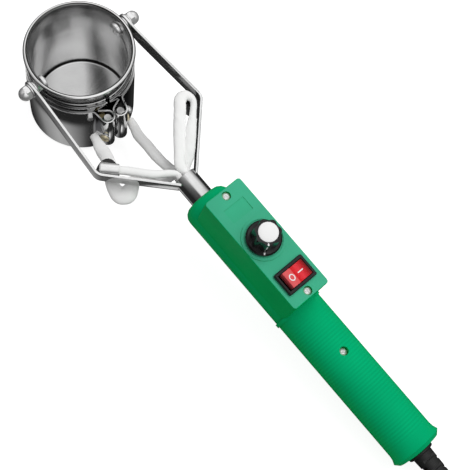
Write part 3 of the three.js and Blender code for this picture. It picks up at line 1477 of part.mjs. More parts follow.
const handleGroup = new THREE.Group();
handleGroup.position.z = pivotHeight;
handleGroup.rotation.y = handleLean;
handleGroup.add(piece('arm_left', arm(-1), 'darkSteel'));
handleGroup.add(piece('arm_right', arm(1), 'darkSteel'));
handleGroup.add(piece('tube', tube(), 'steel'));
handleGroup.add(piece('cable_tab_left', cableTab(-1), 'darkSteel'));
handleGroup.add(piece('cable_tab_right', cableTab(1), 'darkSteel'));
handleGroup.add(piece('cable_clip', cableClip(), 'steel'));
handleGroup.add(piece('lead_left', sleeve(leadRoute(-1, leadLeftShares, 3, slotLeadLeft)), 'sleeving'));
handleGroup.add(piece('lead_right', sleeve(leadRoute(1, leadRightShares, 4, slotLeadRight)), 'sleeving'));
handleGroup.add(piece('earth_lead_left', sleeve(earthLeftRoute()), 'sleeving'));
handleGroup.add(piece('earth_lead_right', sleeve(earthRightRoute()), 'sleeving'));

const shells = handleShells();
handleGroup.add(piece('handle_upper', shells.upper, 'greenPlastic'));
handleGroup.add(piece('handle_lower', shells.lower, 'greenPlastic'));
for (const screw of handleScrews()) handleGroup.add(piece(screw.name, handleScrew(screw), 'steel'));
handleGroup.add(piece('dial_knob', knob(), 'blackPlastic'));
handleGroup.add(piece('dial_cap', knobCap(), 'whitePlastic'));
handleGroup.add(piece('dial_pointer', knobPointer(), 'whitePlastic'));
handleGroup.add(piece('dial_shaft', potShaft(), 'steel'));
handleGroup.add(piece('potentiometer', potentiometer(), 'darkSteel'));
handleGroup.add(piece('switch_housing', switchHousing(), 'blackPlastic'));
handleGroup.add(piece('switch_rocker', rocker(), 'redPlastic'));
handleGroup.add(piece('control_board', controlBoard(), 'board'));
handleGroup.add(piece('strain_relief', strainRelief(), 'rubber'));
solderPot.add(handleGroup);

const coil = coilWithEnds();
solderPot.add(piece('cord', solid(tubeAlong(cordRoute(), cordRadius, cordSides, cordDiameter * cordStepDiameters)),
  'rubber'));
solderPot.add(piece('cord_coil', solid(sweptTube(coil, coil.map(() => cordRadius), coilSides)), 'rubber'));
solderPot.add(piece('cord_tail', solid(tubeAlong(tailRoute(), cordRadius, cordSides, cordDiameter * cordStepDiameters)),
  'rubber'));
solderPot.add(piece('plug_body', plugBody(), 'rubber'));
solderPot.add(piece('plug_pin_left', plugPin(-1), 'brass'));
solderPot.add(piece('plug_pin_right', plugPin(1), 'brass'));

const cordLength = [cordRoute(), coil, tailRoute()]
  .map((points) => new THREE.CatmullRomCurve3(points, false, 'centripetal').getLength())
  .reduce((sum, length) => sum + length, 0);
console.log(`cord length ${cordLength.toFixed(0)} mm, least gap in the coil ${leastGap(coil, cordRadius).toFixed(2)} mm`);

export default solderPot;
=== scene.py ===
"""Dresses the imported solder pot: drawn steel cup with its band heater, bent strip
yoke, sleeved leads, moulded green handle with dial and rocker switch, and the
mains cord with its plug. Shapes are grids of points worked out with numpy."""

import math

import bmesh
import bpy
import numpy as np
from mathutils import Matrix


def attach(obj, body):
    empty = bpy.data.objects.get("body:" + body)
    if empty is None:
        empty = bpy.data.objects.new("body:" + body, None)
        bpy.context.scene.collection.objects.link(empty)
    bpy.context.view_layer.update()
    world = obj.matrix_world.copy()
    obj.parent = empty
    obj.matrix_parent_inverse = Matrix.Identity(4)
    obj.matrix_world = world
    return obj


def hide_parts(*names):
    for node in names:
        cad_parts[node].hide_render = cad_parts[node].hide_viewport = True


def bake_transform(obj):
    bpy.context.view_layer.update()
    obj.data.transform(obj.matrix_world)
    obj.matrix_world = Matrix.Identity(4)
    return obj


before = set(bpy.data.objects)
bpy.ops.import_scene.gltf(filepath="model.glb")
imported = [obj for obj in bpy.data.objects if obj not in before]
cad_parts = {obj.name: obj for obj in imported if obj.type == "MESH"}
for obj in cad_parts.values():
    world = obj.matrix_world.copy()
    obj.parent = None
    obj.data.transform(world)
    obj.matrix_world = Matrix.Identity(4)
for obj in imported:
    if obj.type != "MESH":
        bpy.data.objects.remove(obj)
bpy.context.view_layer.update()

MM = 0.001
SEAT_GAP = 0.3
PIVOT_HEIGHT = 61.2
FLANGE = (309.8, 16.8)
LEAN = math.asin(PIVOT_HEIGHT / math.hypot(*FLANGE)) - math.atan2(FLANGE[1], FLANGE[0])
HEATER_TURN = math.radians(-7.6)
UP = np.array([0.0, 0.0, 1.0])
SIDES = (("left", -1), ("right", 1))


# Places: the cup stands upright at the pivot, the handle leans about it

def spun(points, angle):
    """Points turned about Z by an angle in radians."""
    c, s = math.cos(angle), math.sin(angle)
    return np.asarray(points, float) @ np.array([[c, s, 0], [-s, c, 0], [0, 0, 1]])


def tipped(points, angle):
    """Points turned about Y by an angle in radians, which brings the far end of X down."""
    c, s = math.cos(angle), math.sin(angle)
    return np.asarray(points, float) @ np.array([[c, 0, -s], [0, 1, 0], [s, 0, c]])


def upright(points):
    """Millimetres about the pivot to metres on the bench: raised by the pivot's height."""
    return (np.asarray(points, float) + (0, 0, PIVOT_HEIGHT)) * MM


def leaning(points):
    """Millimetres along the handle to metres on the bench."""
    return upright(tipped(points, LEAN))


def on_heater(points):
    """Millimetres on the heater, turned with it about the cup's axis, to metres on the bench."""
    return upright(spun(points, HEATER_TURN))


HANDLE_AXIS = tuple(tipped((1, 0, 0), LEAN).tolist())
HANDLE_UP = tuple(tipped((0, 0, 1), LEAN).tolist())


# Grids of points and the meshes made of them

def unit(vector):
    return vector / np.linalg.norm(vector)


def polar(radius, angle, *height):
    """Points at radii and angles in radians about the origin, at a height if one is given."""
    return np.stack(np.broadcast_arrays(radius * np.cos(angle), radius * np.sin(angle), *height), axis=-1)


def full_turn(steps, first=0.0):
    """An even row of angles in radians once round, from a share of a step on."""
    return 2 * math.pi * (np.arange(steps) + first) / steps


def arc(centre, radius, start, end, steps):
    """Points on a circle about a centre, at an even row of angles in degrees."""
    return polar(radius, np.radians(np.linspace(start, end, steps + 1))) + centre


def rounded(corners, radii, steps=5):
    """A line of corners, each replaced by a quadratic curve that starts and ends one radius away from it."""
    corners = np.asarray(corners, float)
    radii = np.broadcast_to(radii, len(corners))
    parts = [corners[:1]]
    for before, corner, after, radius in zip(corners, corners[1:], corners[2:], radii[1:]):
        back, on = before - corner, after - corner
        reach = min(radius, 0.49 * np.linalg.norm(back), 0.49 * np.linalg.norm(on))
        a, b = corner + unit(back) * reach, corner + unit(on) * reach
        t = np.linspace(0, 1, steps + 1)[:, None]
        parts.append((1 - t) ** 2 * a + 2 * t * (1 - t) * corner + t ** 2 * b)
    return np.concatenate(parts + [corners[-1:]])


def turned(profile, steps=96):
    """A profile of (radius, height) turned round Z."""
    profile = np.asarray(profile, float)
    return polar(profile[:, :1], full_turn(steps), profile[:, 1:2])


def along_x(points):
    """Turns a shape about Z into one about X: height becomes X, X becomes Y, Y becomes Z."""
    return points[..., [2, 0, 1]]


def along_y(points):
    """Turns a shape about Z into one about Y: height becomes Y, Y becomes X, X becomes Z."""
    return points[..., [1, 2, 0]]


def smooth_path(stops, step):
    """A centripetal Catmull-Rom curve through the stops, sampled evenly by length about a step apart. Each span is
    worked out as a pyramid of mixes between neighbours."""
    stops = np.asarray(stops, float)
    ends = np.vstack([2 * stops[0] - stops[1], stops, 2 * stops[-1] - stops[-2]])
    fine = []
    for four in zip(ends[:-3], ends[1:-2], ends[2:-1], ends[3:]):
        knots = [0.0]
        for a, b in zip(four, four[1:]):
            knots.append(knots[-1] + np.linalg.norm((b - a)[:3]) ** 0.5)
        t = np.linspace(knots[1], knots[2], 24, endpoint=False)[:, None]
        level = four
        for spans in (((0, 1), (1, 2), (2, 3)), ((0, 2), (1, 3)), ((1, 2),)):
            level = [(knots[j] - t) / (knots[j] - knots[i]) * a + (t - knots[i]) / (knots[j] - knots[i]) * b
                     for (i, j), a, b in zip(spans, level, level[1:])]
        fine.append(level[0])
    fine = np.vstack(fine + [stops[-1:]])
    gone = np.concatenate([[0], np.cumsum(np.linalg.norm(np.diff(fine[:, :3], axis=0), axis=1))])
    places = np.linspace(0, gone[-1], max(2, int(round(gone[-1] / step))) + 1)
    return np.stack([np.interp(places, gone, column) for column in fine.T], axis=-1)


def carried(path, section, guide=None):
    """A section (across, above), the same all along or one for each point, carried along a path. Across is level, and
    both lie square to the path, or to the guide if there is one."""
    tangent = np.gradient(path if guide is None else guide, axis=0)
    tangent /= np.linalg.norm(tangent, axis=1, keepdims=True)
    aside = np.cross(np.broadcast_to(UP, tangent.shape), tangent)
    aside /= np.linalg.norm(aside, axis=1, keepdims=True)
    above = np.cross(tangent, aside)
    section = np.broadcast_to(section, (len(path),) + np.shape(section)[-2:])
    return path[:, None] + aside[:, None] * section[..., :1] + above[:, None] * section[..., 1:2]


def box_section(width, height, edge):
    """A closed rectangle with round corners: a quarter circle of the edge radius about each inner corner."""
    x, y = width / 2 - edge, height / 2 - edge
    return np.concatenate([arc((sx * x, sy * y), edge, q, q + 90, 3)
                           for sx, sy, q in ((1, 1, 0), (-1, 1, 90), (-1, -1, 180), (1, -1, 270))])


def grid_faces(rows, columns, ring):
    """Quads between neighbouring rows and columns, the last column joined to the first on a ring."""
    i, j = np.meshgrid(np.arange(rows - 1), np.arange(columns if ring else columns - 1), indexing="ij")
    k = (j + 1) % columns
    return np.stack([i * columns + j, i * columns + k, (i + 1) * columns + k, (i + 1) * columns + j],
                    axis=-1).reshape(-1, 4)


def shade(mesh, smooth):
    """Smooth faces, with sharp edges where they meet at more than an angle in degrees."""
    mesh.shade_smooth()
    mesh.set_sharp_from_angle(angle=math.radians(smooth))
    return mesh


def mesh_of(name, patches, smooth=35):
    """One mesh from (points, ring, caps) patches: quads of each grid, a flat cap on its first and last row if asked."""
    points, faces, count = [], [], 0
    for grid, ring, caps in patches:
        rows, columns = grid.shape[:2]
        points.append(grid.reshape(-1, 3))
        faces.extend((grid_faces(rows, columns, ring) + count).tolist())
        if caps:
            faces.append((np.arange(columns)[::-1] + count).tolist())
            faces.append((np.arange(columns) + (rows - 1) * columns + count).tolist())
        count += rows * columns
    mesh = bpy.data.meshes.new(name)
    mesh.from_pydata(np.vstack(points).tolist(), [], faces)
    shape = bmesh.new()
    shape.from_mesh(mesh)
    bmesh.ops.remove_doubles(shape, verts=shape.verts, dist=1e-6)
    bmesh.ops.recalc_face_normals(shape, faces=shape.faces)
    shape.to_mesh(mesh)
    shape.free()
    return shade(mesh, smooth)


def swept_mesh(name, grid, smooth, weave):
    """A closed tube of rings of points in metres. Its weave map runs along the path in one direction and round the
    section in the other, by the given share of a unit for each step."""
    rows, sides = grid.shape[:2]
    faces = grid_faces(rows, sides, True)[:, ::-1].tolist()
    faces += [list(range(sides)), list(range((rows - 1) * sides, rows * sides))[::-1]]
    mesh = bpy.data.meshes.new(name)
    mesh.from_pydata(grid.reshape(-1, 3).tolist(), [], faces)
    layer = mesh.uv_layers.new(name="weave")
    index = column_of(mesh.loops, "vertex_index", 1, int)
    layer.data.foreach_set("uv", (np.stack([index // sides, index % sides], axis=-1) * weave).ravel())
    return shade(mesh, smooth)


def column_of(things, key, width=1, kind=float):
    """One property of all of a mesh's points, faces or corners."""
    values = np.empty(width * len(things), kind)
    things.foreach_get(key, values)
    return values.reshape(-1, width) if width > 1 else values


def placed_object(name, data):
    thing = bpy.data.objects.new(name, data)
    bpy.context.scene.collection.objects.link(thing)
    return thing


def paint(mesh, key):
    mesh.materials.clear()
    mesh.materials.append(FINISH[key][0])


def piece(name, mesh, key, body, replaces=()):
    """Puts a mesh into the scene on its body, with its finish. A body given as two bodies and two places leaves
    the mesh unattached, with its place baked into its points."""
    thing = placed_object(name, mesh)
    paint(mesh, key)
    if isinstance(body, tuple):
        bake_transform(thing)
    else:
        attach(thing, body)
    if replaces:
        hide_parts(*replaces)
    return thing


def ring_piece(name, grids, smooth, key, body, node, caps=False):
    """A piece of grids whose rows are rings, with flat ends if asked, that replaces one node."""
    return piece(name, mesh_of(name, [(grid, True, caps) for grid in grids], smooth), key, body, (node,))


SMOOTH_COPY = 32
ROUND_LEAST = 4 * MM
ROUND_SHARE = 0.985


def smooth_corners(mesh):
    """Each corner's normal is the sum, by area, of the normals of the faces round its point that lie within the limit.
    A face of a body turned about the handle's axis counts with the radial direction of the corner itself, so round
    walls shade evenly however long their faces are."""
    normals, areas = column_of(mesh.polygons, "normal", 3), column_of(mesh.polygons, "area")
    owners = np.repeat(np.arange(len(areas)), column_of(mesh.polygons, "loop_total", 1, int))
    corners = column_of(mesh.loops, "vertex_index", 1, int)
    own, axis = normals[owners], np.array(HANDLE_AXIS)

    away = column_of(mesh.vertices, "co", 3)[corners] - UP * PIVOT_HEIGHT * MM
    away -= np.outer(away @ axis, axis)
    size = np.linalg.norm(away, axis=1)
    out = away / np.maximum(size, 1e-9)[:, None]
    lengthwise = np.outer(own @ axis, axis)
    across = own - lengthwise
    across_size = np.linalg.norm(across, axis=1)
    facing = np.sum(across * out, axis=1)
    round_wall = (size > ROUND_LEAST) & (across_size > 0.05) & (np.abs(facing) > ROUND_SHARE * across_size)
    turned_face = np.ones(len(areas), bool)
    np.logical_and.at(turned_face, owners, round_wall)
    on_turned = turned_face[owners]
    own[on_turned] = (lengthwise + out * (np.sign(facing) * across_size)[:, None])[on_turned]

    groups = {}
    for k, corner in enumerate(corners):
        groups.setdefault(corner, []).append(k)
    weights, least = areas[owners], math.cos(math.radians(SMOOTH_COPY))
    result = np.empty_like(own)
    for group in groups.values():
        near = own[group] @ own[group].T > least
        result[group] = (near * weights[group]) @ own[group]
    result /= np.maximum(np.linalg.norm(result, axis=1, keepdims=True), 1e-12)
    mesh.normals_split_custom_set(result.tolist())


def solid_copy(node):
    """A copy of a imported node's mesh, with its doubles merged and its round faces smooth."""
    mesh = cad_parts[node].data.copy()
    shape = bmesh.new()
    shape.from_mesh(mesh)
    bmesh.ops.remove_doubles(shape, verts=shape.verts, dist=2e-6)
    bmesh.ops.dissolve_degenerate(shape, edges=shape.edges, dist=2e-6)
    shape.to_mesh(mesh)
    shape.free()
    mesh.shade_smooth()
    smooth_corners(mesh)
    return mesh


# Nodes of the finishes

def finish(name, colour, roughness, metallic=0.0, **settings):
    """A node material whose shader holds the plain values; what varies is linked to it afterwards."""
    material = bpy.data.materials.new(name)
    material.use_nodes = True
    shader = material.node_tree.nodes["Principled BSDF"]
    shader.inputs["Base Color"].default_value = (*colour, 1)
    shader.inputs["Roughness"].default_value = roughness
    shader.inputs["Metallic"].default_value = metallic
    for key, value in settings.items():
        shader.inputs[key.replace("_", " ")].default_value = value
    return material, material.node_tree, shader


def add(tree, kind, inputs=None, **settings):
    """A node with its settings and inputs; an input that is an output of another node is linked."""
    node = tree.nodes.new(kind)
    for key, value in settings.items():
        setattr(node, key, value)
    for key, value in (inputs or {}).items():
        if isinstance(value, bpy.types.NodeSocket):
            tree.links.new(value, node.inputs[key])
        else:
            node.inputs[key].default_value = value
    return node


def feed(tree, shader, **sockets):
    """Links outputs to the shader's own sockets."""
    for key, socket in sockets.items():
        tree.links.new(socket, shader.inputs[key.replace("_", " ")])


def where(tree, kind="Object"):
    return add(tree, "ShaderNodeTexCoord").outputs[kind]


def parts_of(tree, vector):
    return add(tree, "ShaderNodeSeparateXYZ", {"Vector": vector}).outputs


def noise(tree, scale, detail=3, rough=0.55, vector=None):
    return add(tree, "ShaderNodeTexNoise", {"Vector": vector or where(tree), "Scale": scale, "Detail": detail,
                                            "Roughness": rough}).outputs["Fac"]


def maths(tree, kind, *values):
    """One arithmetic node."""
    return add(tree, "ShaderNodeMath", dict(enumerate(values)), operation=kind).outputs["Value"]


def times(tree, first, *others):
    """The product of values."""
    for other in others:
        first = maths(tree, "MULTIPLY", first, other)
    return first


def vectors(tree, kind, a, b=(0, 0, 0)):
    """One vector node; a length or a dot product comes out as a value."""
    node = add(tree, "ShaderNodeVectorMath", {0: a, "Scale" if kind == "SCALE" else 1: b}, operation=kind)
    return node.outputs["Value" if kind in ("DOT_PRODUCT", "LENGTH") else "Vector"]


def mixed(tree, share, a, b):
    """From one colour to the other by a share."""
    return add(tree, "ShaderNodeMix", {0: share, 6: a, 7: b}, data_type="RGBA").outputs[2]


def ramp(tree, value, stops):
    """Colours at places between 0 and 1, blended between them."""
    node = add(tree, "ShaderNodeValToRGB", {"Fac": value})
    marks = node.color_ramp.elements
    while len(marks) < len(stops):
        marks.new(0.5)
    for mark, (place, colour) in zip(marks, stops):
        mark.position = place
        mark.color = (*colour, 1)
    return node.outputs["Color"]


def span(tree, value, low, high, to_low=0.0, to_high=1.0):
    """Moves a value from one range to another, clamped."""
    return add(tree, "ShaderNodeMapRange", {"Value": value, "From Min": low, "From Max": high,
                                            "To Min": to_low, "To Max": to_high}).outputs["Result"]


def within(tree, value, *ranges):
    """The product of the value's spans over some ranges, each from 0 to 1."""
    return times(tree, *[span(tree, value, low, high) for low, high in ranges])


def grey(level):
    return (level, level, level)


def patchy(tree, value, low, high, colour, tone=0.86):
    """The colour, darker by the tone where the value is low."""
    return ramp(tree, value, [(low, tuple(tone * c for c in colour)), (high, colour)])


def bumped(tree, shader, height, distance, strength=1.0):
    bump = add(tree, "ShaderNodeBump", {"Height": height, "Distance": distance, "Strength": strength})
    feed(tree, shader, Normal=bump.outputs["Normal"])


def round_the_cup(tree, across, along):
    """Coordinates that run round the cup's axis: unit direction times across, height times along."""
    place = where(tree)
    flat = vectors(tree, "NORMALIZE", vectors(tree, "MULTIPLY", place, (1, 1, 0)))
    return vectors(tree, "ADD", vectors(tree, "SCALE", flat, across),
                   vectors(tree, "MULTIPLY", place, (0, 0, along)))


def facing_up(tree):
    return vectors(tree, "DOT_PRODUCT", where(tree, "Normal"), (0, 0, 1))


def painted_wall_shade(tree, colour, wall):
    """Painted shade: level faces stay bright while upright faces are as dark as wall says, a mix by how level
    the place lies.
    """
    return vectors(tree, "SCALE", colour, span(tree, facing_up(tree), 0.35, 0.75, wall, 1.0))


# Finishes

BURNT = (0.03, 0.03, 0.028, 1)
# Dark grey of the painted dark reflection on the cover near the lobes.
LOBE_REFLECTION_DARK = (0.14, 0.14, 0.15, 1)
FACE_PAINTED_SHEEN = (0.03, 0.42, 0.235, 1)
GREEN_PAINTED_BY_FACING = [(0.1, (0.0, 0.52, 0.13)), (0.6, (0.0, 0.45, 0.16)), (0.93, (0.0, 0.43, 0.17))]
RIB_PITCH = 2.1
RIB_HEIGHT = 0.035
RIBS_REACH = (0.2085, 0.2125), (0.303, 0.300)
FACE_HEIGHT = (0.0355, 0.0366)
LOBE_REFLECTION_REACH = (0.029, 0.032), (0.041, 0.036)
FLUX_HEIGHT = (0.0044, 0.0032)
FLUX_REACH = (0.0287, 0.0293), (0.0306, 0.0304)
SEAM_REACH = (0.03165, 0.0318), (0.0325, 0.03235)
SEAM_HEIGHT = (0.0676, 0.0678)


def drawn_steel(name, colour, roughness, line_depth, inside=False, wall=1.0, painted_lobe_reflection=False):
    """Sheet drawn or rolled round the cup: fine lines run round it, with soft patches of tone. Where wall is below 1,
    its upright faces get painted shade while its level faces stay bright. With a painted lobe reflection, upright
    faces near the lobes are painted darker, a painted dark reflection. The cup has more: its gloss is drawn out up
    and down, a dark line lies in the seam of its bead, and burnt flux where wall meets floor."""
    material, tree, shader = finish(name, colour, roughness, 1.0)
    lines = noise(tree, 1.0, 4, 0.7, round_the_cup(tree, 1.5, 2200))
    patches = noise(tree, 60, 2)
    tone = maths(tree, "MULTIPLY_ADD", lines, 0.25, times(tree, patches, 0.5))
    shown = patchy(tree, tone, 0.2, 0.62, colour)
    # Painted shade on upright faces; level faces stay bright.
    if wall < 1:
        shown = painted_wall_shade(tree, shown, wall)
    # Painted dark reflection: upright faces near the lobes are darkened toward a dark grey.
    if painted_lobe_reflection:
        along = parts_of(tree, where(tree))["X"]
        lobe_reflection = times(tree, within(tree, along, *LOBE_REFLECTION_REACH), span(tree, facing_up(tree), 0.6, 0.3))
        shown = mixed(tree, lobe_reflection, shown, LOBE_REFLECTION_DARK)
    if inside:
        shader.inputs["Anisotropic"].default_value = 0.8
        shader.inputs["Anisotropic Rotation"].default_value = 0.25
        tangent = add(tree, "ShaderNodeTangent", direction_type="RADIAL", axis="Z")
        feed(tree, shader, Tangent=tangent.outputs["Tangent"])
        place = where(tree)
        level = parts_of(tree, place)["Z"]
        away = vectors(tree, "LENGTH", vectors(tree, "MULTIPLY", place, (1, 1, 0)))
        uneven = maths(tree, "MULTIPLY_ADD", patches, 0.0012, level)
        burnt = times(tree, within(tree, uneven, FLUX_HEIGHT), within(tree, away, *FLUX_REACH))
        seam = times(tree, within(tree, away, *SEAM_REACH), within(tree, level, SEAM_HEIGHT))
        shown = mixed(tree, maths(tree, "MAXIMUM", burnt, seam), shown, BURNT)
    feed(tree, shader, Base_Color=shown, Roughness=span(tree, lines, 0.3, 0.7, roughness - 0.04, roughness + 0.06))
    bumped(tree, shader, lines, line_depth)
    return material


def plain_metal(name, colour, roughness, wall=1.0, metallic=1.0):
    """Plated or bright metal: faint grain in the gloss and a little in the surface."""
    material, tree, shader = finish(name, colour, roughness, metallic)
    grains = noise(tree, 900, 4, 0.6)
    shown = patchy(tree, noise(tree, 90, 2), 0.35, 0.6, colour)
    # Painted shade on upright faces; level faces stay bright.
    if wall < 1:
        shown = painted_wall_shade(tree, shown, wall)
    feed(tree, shader, Base_Color=shown,
         Roughness=span(tree, grains, 0.3, 0.7, max(roughness - 0.04, 0.03), roughness + 0.06))
    bumped(tree, shader, grains, 4e-6)
    return material


def moulded(name, colour, roughness, grain=700, depth=6e-6, sheen=0.3, handle=False):
    """Moulded plastic: the faint ripple of a mould's surface, with slightly uneven gloss and tone. The handle has
    more: its green is painted lighter and yellower where it faces aside or down and bluer where it faces up, as
    painted light and shade; its face is glossier than its sides and painted paler, a painted sheen; and shallow rings
    run round the grip behind the control box, stronger in some places than in others, with painted shade in their
    hollows and painted light on their crests."""
    material, tree, shader = finish(name, colour, roughness, 0.0, IOR=1.5, Specular_IOR_Level=sheen)
    grains = noise(tree, grain, 3, 0.5)
    patches = noise(tree, 35, 2)
    relief = times(tree, grains, depth)
    if handle:
        place = where(tree)
        upward = vectors(tree, "DOT_PRODUCT", where(tree, "Normal"), HANDLE_UP)
        height = vectors(tree, "DOT_PRODUCT", place, HANDLE_UP)
        axis_height, axis_start = PIVOT_HEIGHT * MM * HANDLE_UP[2], PIVOT_HEIGHT * MM * HANDLE_AXIS[2]
        face = times(tree, span(tree, height, *[axis_height + level for level in FACE_HEIGHT]),
                     span(tree, upward, 0.93, 0.99))
        # Painted light and shade: the green changes with which way a place faces, and the face is painted paler as a
        # painted sheen.
        shown = mixed(tree, face, ramp(tree, upward, GREEN_PAINTED_BY_FACING), FACE_PAINTED_SHEEN)
        shown = vectors(tree, "SCALE", shown, span(tree, patches, 0.35, 0.65, 0.92, 1.0))
        feed(tree, shader, Specular_IOR_Level=span(tree, face, 0, 1, 0.04, 0.5))
        along = vectors(tree, "DOT_PRODUCT", place, HANDLE_AXIS)
        rib = times(tree, maths(tree, "SINE", times(tree, along, 2 * math.pi / (RIB_PITCH * MM))),
                    within(tree, along, *[(axis_start + a, axis_start + b) for a, b in RIBS_REACH]),
                    span(tree, noise(tree, 55, 2), 0.3, 0.65, 0.35, 1.0))
        relief = maths(tree, "MULTIPLY_ADD", rib, RIB_HEIGHT * MM, relief)
        # Painted shade in the rib hollows and painted light on their crests.
        shown = vectors(tree, "SCALE", shown, span(tree, rib, -1, 1, 0.9, 1.06))
    else:
        shown = patchy(tree, patches, 0.35, 0.65, colour, 0.92)
    feed(tree, shader, Base_Color=shown, Roughness=span(tree, grains, 0.3, 0.7, roughness - 0.03, roughness + 0.05))
    bumped(tree, shader, relief, 1.0)
    return material


def sleeving_finish():
    """Woven glass fibre: two crossed bands of fine yarn round and along each sleeve, off-white."""
    material, tree, shader = finish("glass_fibre_sleeving", (0.92, 0.92, 0.915), 0.85, 0.0, Specular_IOR_Level=0.2)
    across = add(tree, "ShaderNodeUVMap", uv_map="weave").outputs["UV"]
    lines = []
    for turn in (math.pi / 4, -math.pi / 4):
        vector = add(tree, "ShaderNodeMapping", {"Vector": across, "Rotation": (0, 0, turn)}).outputs["Vector"]
        lines.append(add(tree, "ShaderNodeTexWave", {"Vector": vector, "Scale": 0.55, "Distortion": 0.4},
                         wave_type="BANDS", bands_direction="X").outputs["Fac"])
    weave = maths(tree, "MAXIMUM", *lines)
    tone = maths(tree, "MULTIPLY_ADD", weave, 0.35, times(tree, noise(tree, 130, 3), 0.65))
    feed(tree, shader, Base_Color=ramp(tree, tone, [(0.2, (0.84, 0.84, 0.835)), (0.6, (0.95, 0.95, 0.945))]))
    bumped(tree, shader, weave, 6e-5, 0.6)
    return material


ROCKER_REDS = [(0.0, (0.6, 0.07, 0.08)), (0.2, (0.72, 0.115, 0.12)), (0.47, (0.72, 0.085, 0.09)),
               (0.49, (0.6, 0.0, 0.004)), (0.7, (0.78, 0.03, 0.045)), (0.88, (0.5, 0.004, 0.01)),
               (1.0, (0.2, 0.0, 0.002))]
ROCKER_REACH = (-0.0075, 0.0085)


def rocker_finish():
    """Clear red plastic: pale where the raised half catches the light, deep and saturated in the pressed half."""
    material, tree, shader = finish("red_rocker", (0.7, 0.02, 0.03), 0.25, 0.0, Specular_IOR_Level=0.25)
    grains = noise(tree, 260, 3)
    place = maths(tree, "MULTIPLY_ADD", grains, 0.0006, parts_of(tree, where(tree))["Y"])
    feed(tree, shader, Base_Color=ramp(tree, span(tree, place, *ROCKER_REACH), ROCKER_REDS),
         Roughness=span(tree, grains, 0.3, 0.7, 0.2, 0.34))
    bumped(tree, shader, grains, 4e-5, 0.5)
    return material


# A wall below 1 paints shade on the upright faces of the cup, the band and the yoke.
FINISH = {
    "cup": (drawn_steel("drawn_cup_steel", grey(0.97), 0.16, 2.5e-6, inside=True, wall=0.75), "cup_steel"),
    "band": (drawn_steel("band_steel", grey(0.94), 0.12, 3e-6, wall=0.3), "band_steel"),
    "cover": (drawn_steel("cover_sheet", grey(0.9), 0.11, 1.5e-6, painted_lobe_reflection=True), "cover_steel"),
    "yoke": (plain_metal("bright_strip", grey(0.92), 0.1, wall=0.5, metallic=0.8), "yoke_steel"),
    "tube": (plain_metal("bright_tube", grey(0.88), 0.1), "yoke_steel"),
    "hardware": (plain_metal("bright_hardware", grey(0.92), 0.14, metallic=0.65), "hardware_steel"),
    # Painted shade: a near-black copy of the yoke's steel, for the cable tabs and the right folded strip.
    "tab": (plain_metal("painted_shade_strip", grey(0.05), 0.25), "yoke_steel"),
    "brass": (plain_metal("terminal_brass", (0.92, 0.82, 0.58), 0.3, metallic=0.6), "brass"),
    # Painted shade: a darkened copy of the terminal brass, for the left folded strip inside its lobe.
    "painted_shade_brass": (plain_metal("painted_shade_brass", (0.3, 0.25, 0.13), 0.34), "brass"),
    "green": (moulded("green_moulding", (0.0, 0.4, 0.168), 0.42, handle=True), "green_plastic"),
    "black": (moulded("black_moulding", grey(0.016), 0.34, sheen=0.28), "black_plastic"),
    "knob": (moulded("black_knob", grey(0.008), 0.16, sheen=0.5), "black_plastic"),
    "white": (moulded("white_moulding", grey(0.9), 0.3), "white_plastic"),
    "red": (rocker_finish(), "red_plastic"),
    "rubber": (moulded("black_rubber", grey(0.02), 0.42, 900, 1.2e-5), "black_rubber"),
    "board": (moulded("circuit_board", (0.03, 0.14, 0.05), 0.4), "board"),
    "sleeving": (sleeving_finish(), "sleeving"),
}


# Camera, from the fit to the photograph

PHOTO_PIXELS = 470
FOCAL_PIXELS = 1287.05
CAMERA_RIGHT = (0.64906962, 0.73924018, 0.17930242)
CAMERA_DOWN = (0.75573889, -0.59989007, -0.26250821)
CAMERA_FORWARD = (-0.08649487, 0.30589192, -0.94812451)
CAMERA_PLACE = (0.31536, -0.23581, 0.75533)
SENSOR = 36


def transform(*columns):
    """Three axes and a place as one matrix."""
    return Matrix(np.vstack([np.column_stack(columns), (0, 0, 0, 1)]).tolist())


def stand_camera():
    """The fitted directions are given along the handle, so they are leaned like it."""
    right, down, forward = tipped([CAMERA_RIGHT, CAMERA_DOWN, CAMERA_FORWARD], LEAN)
    camera = bpy.data.cameras.new("camera")
    camera.sensor_fit = "HORIZONTAL"
    camera.sensor_width = SENSOR
    camera.lens = SENSOR * FOCAL_PIXELS / PHOTO_PIXELS
    camera.clip_start = 0.01
    camera.clip_end = 20
    thing = placed_object("camera", camera)
    thing.matrix_world = transform(right, -down, -forward, CAMERA_PLACE)
    bpy.context.scene.camera = thing


stand_camera()


# Mains cord

CORD_RADIUS = 3.3
HANDLE_END = 313.2
RELIEF_TIP = HANDLE_END + SEAT_GAP + 1.6 + 42
RELIEF_BORE = 6
COIL_PLACE = (432.0, 34.0)
COIL_OUTER = 46.0
COIL_PITCH = 7.15
COIL_RISE = 7.25
COIL_TURNS = 3
COIL_CLIMB = 0.5
COIL_STEPS = 24
COIL_START = -90.0
COIL_TAIL = 95.0
TAIL_LENGTH = 58
CORD_SHARES = np.array([[0.216, 0.02, 0.233], [0.4, 0.12, 0.036], [0.615, 0.32, 0], [0.8, 0.6, 0]])
TAIL_SHARES = np.array([[0.14, 0.04], [0.31, 0.26], [0.48, 0.64], [0.66, 0.9], [0.83, 1], [1, 1]])
CORD_STEP = 2.2
CORD_SIDES = 18
CORD_INSET = 0.02


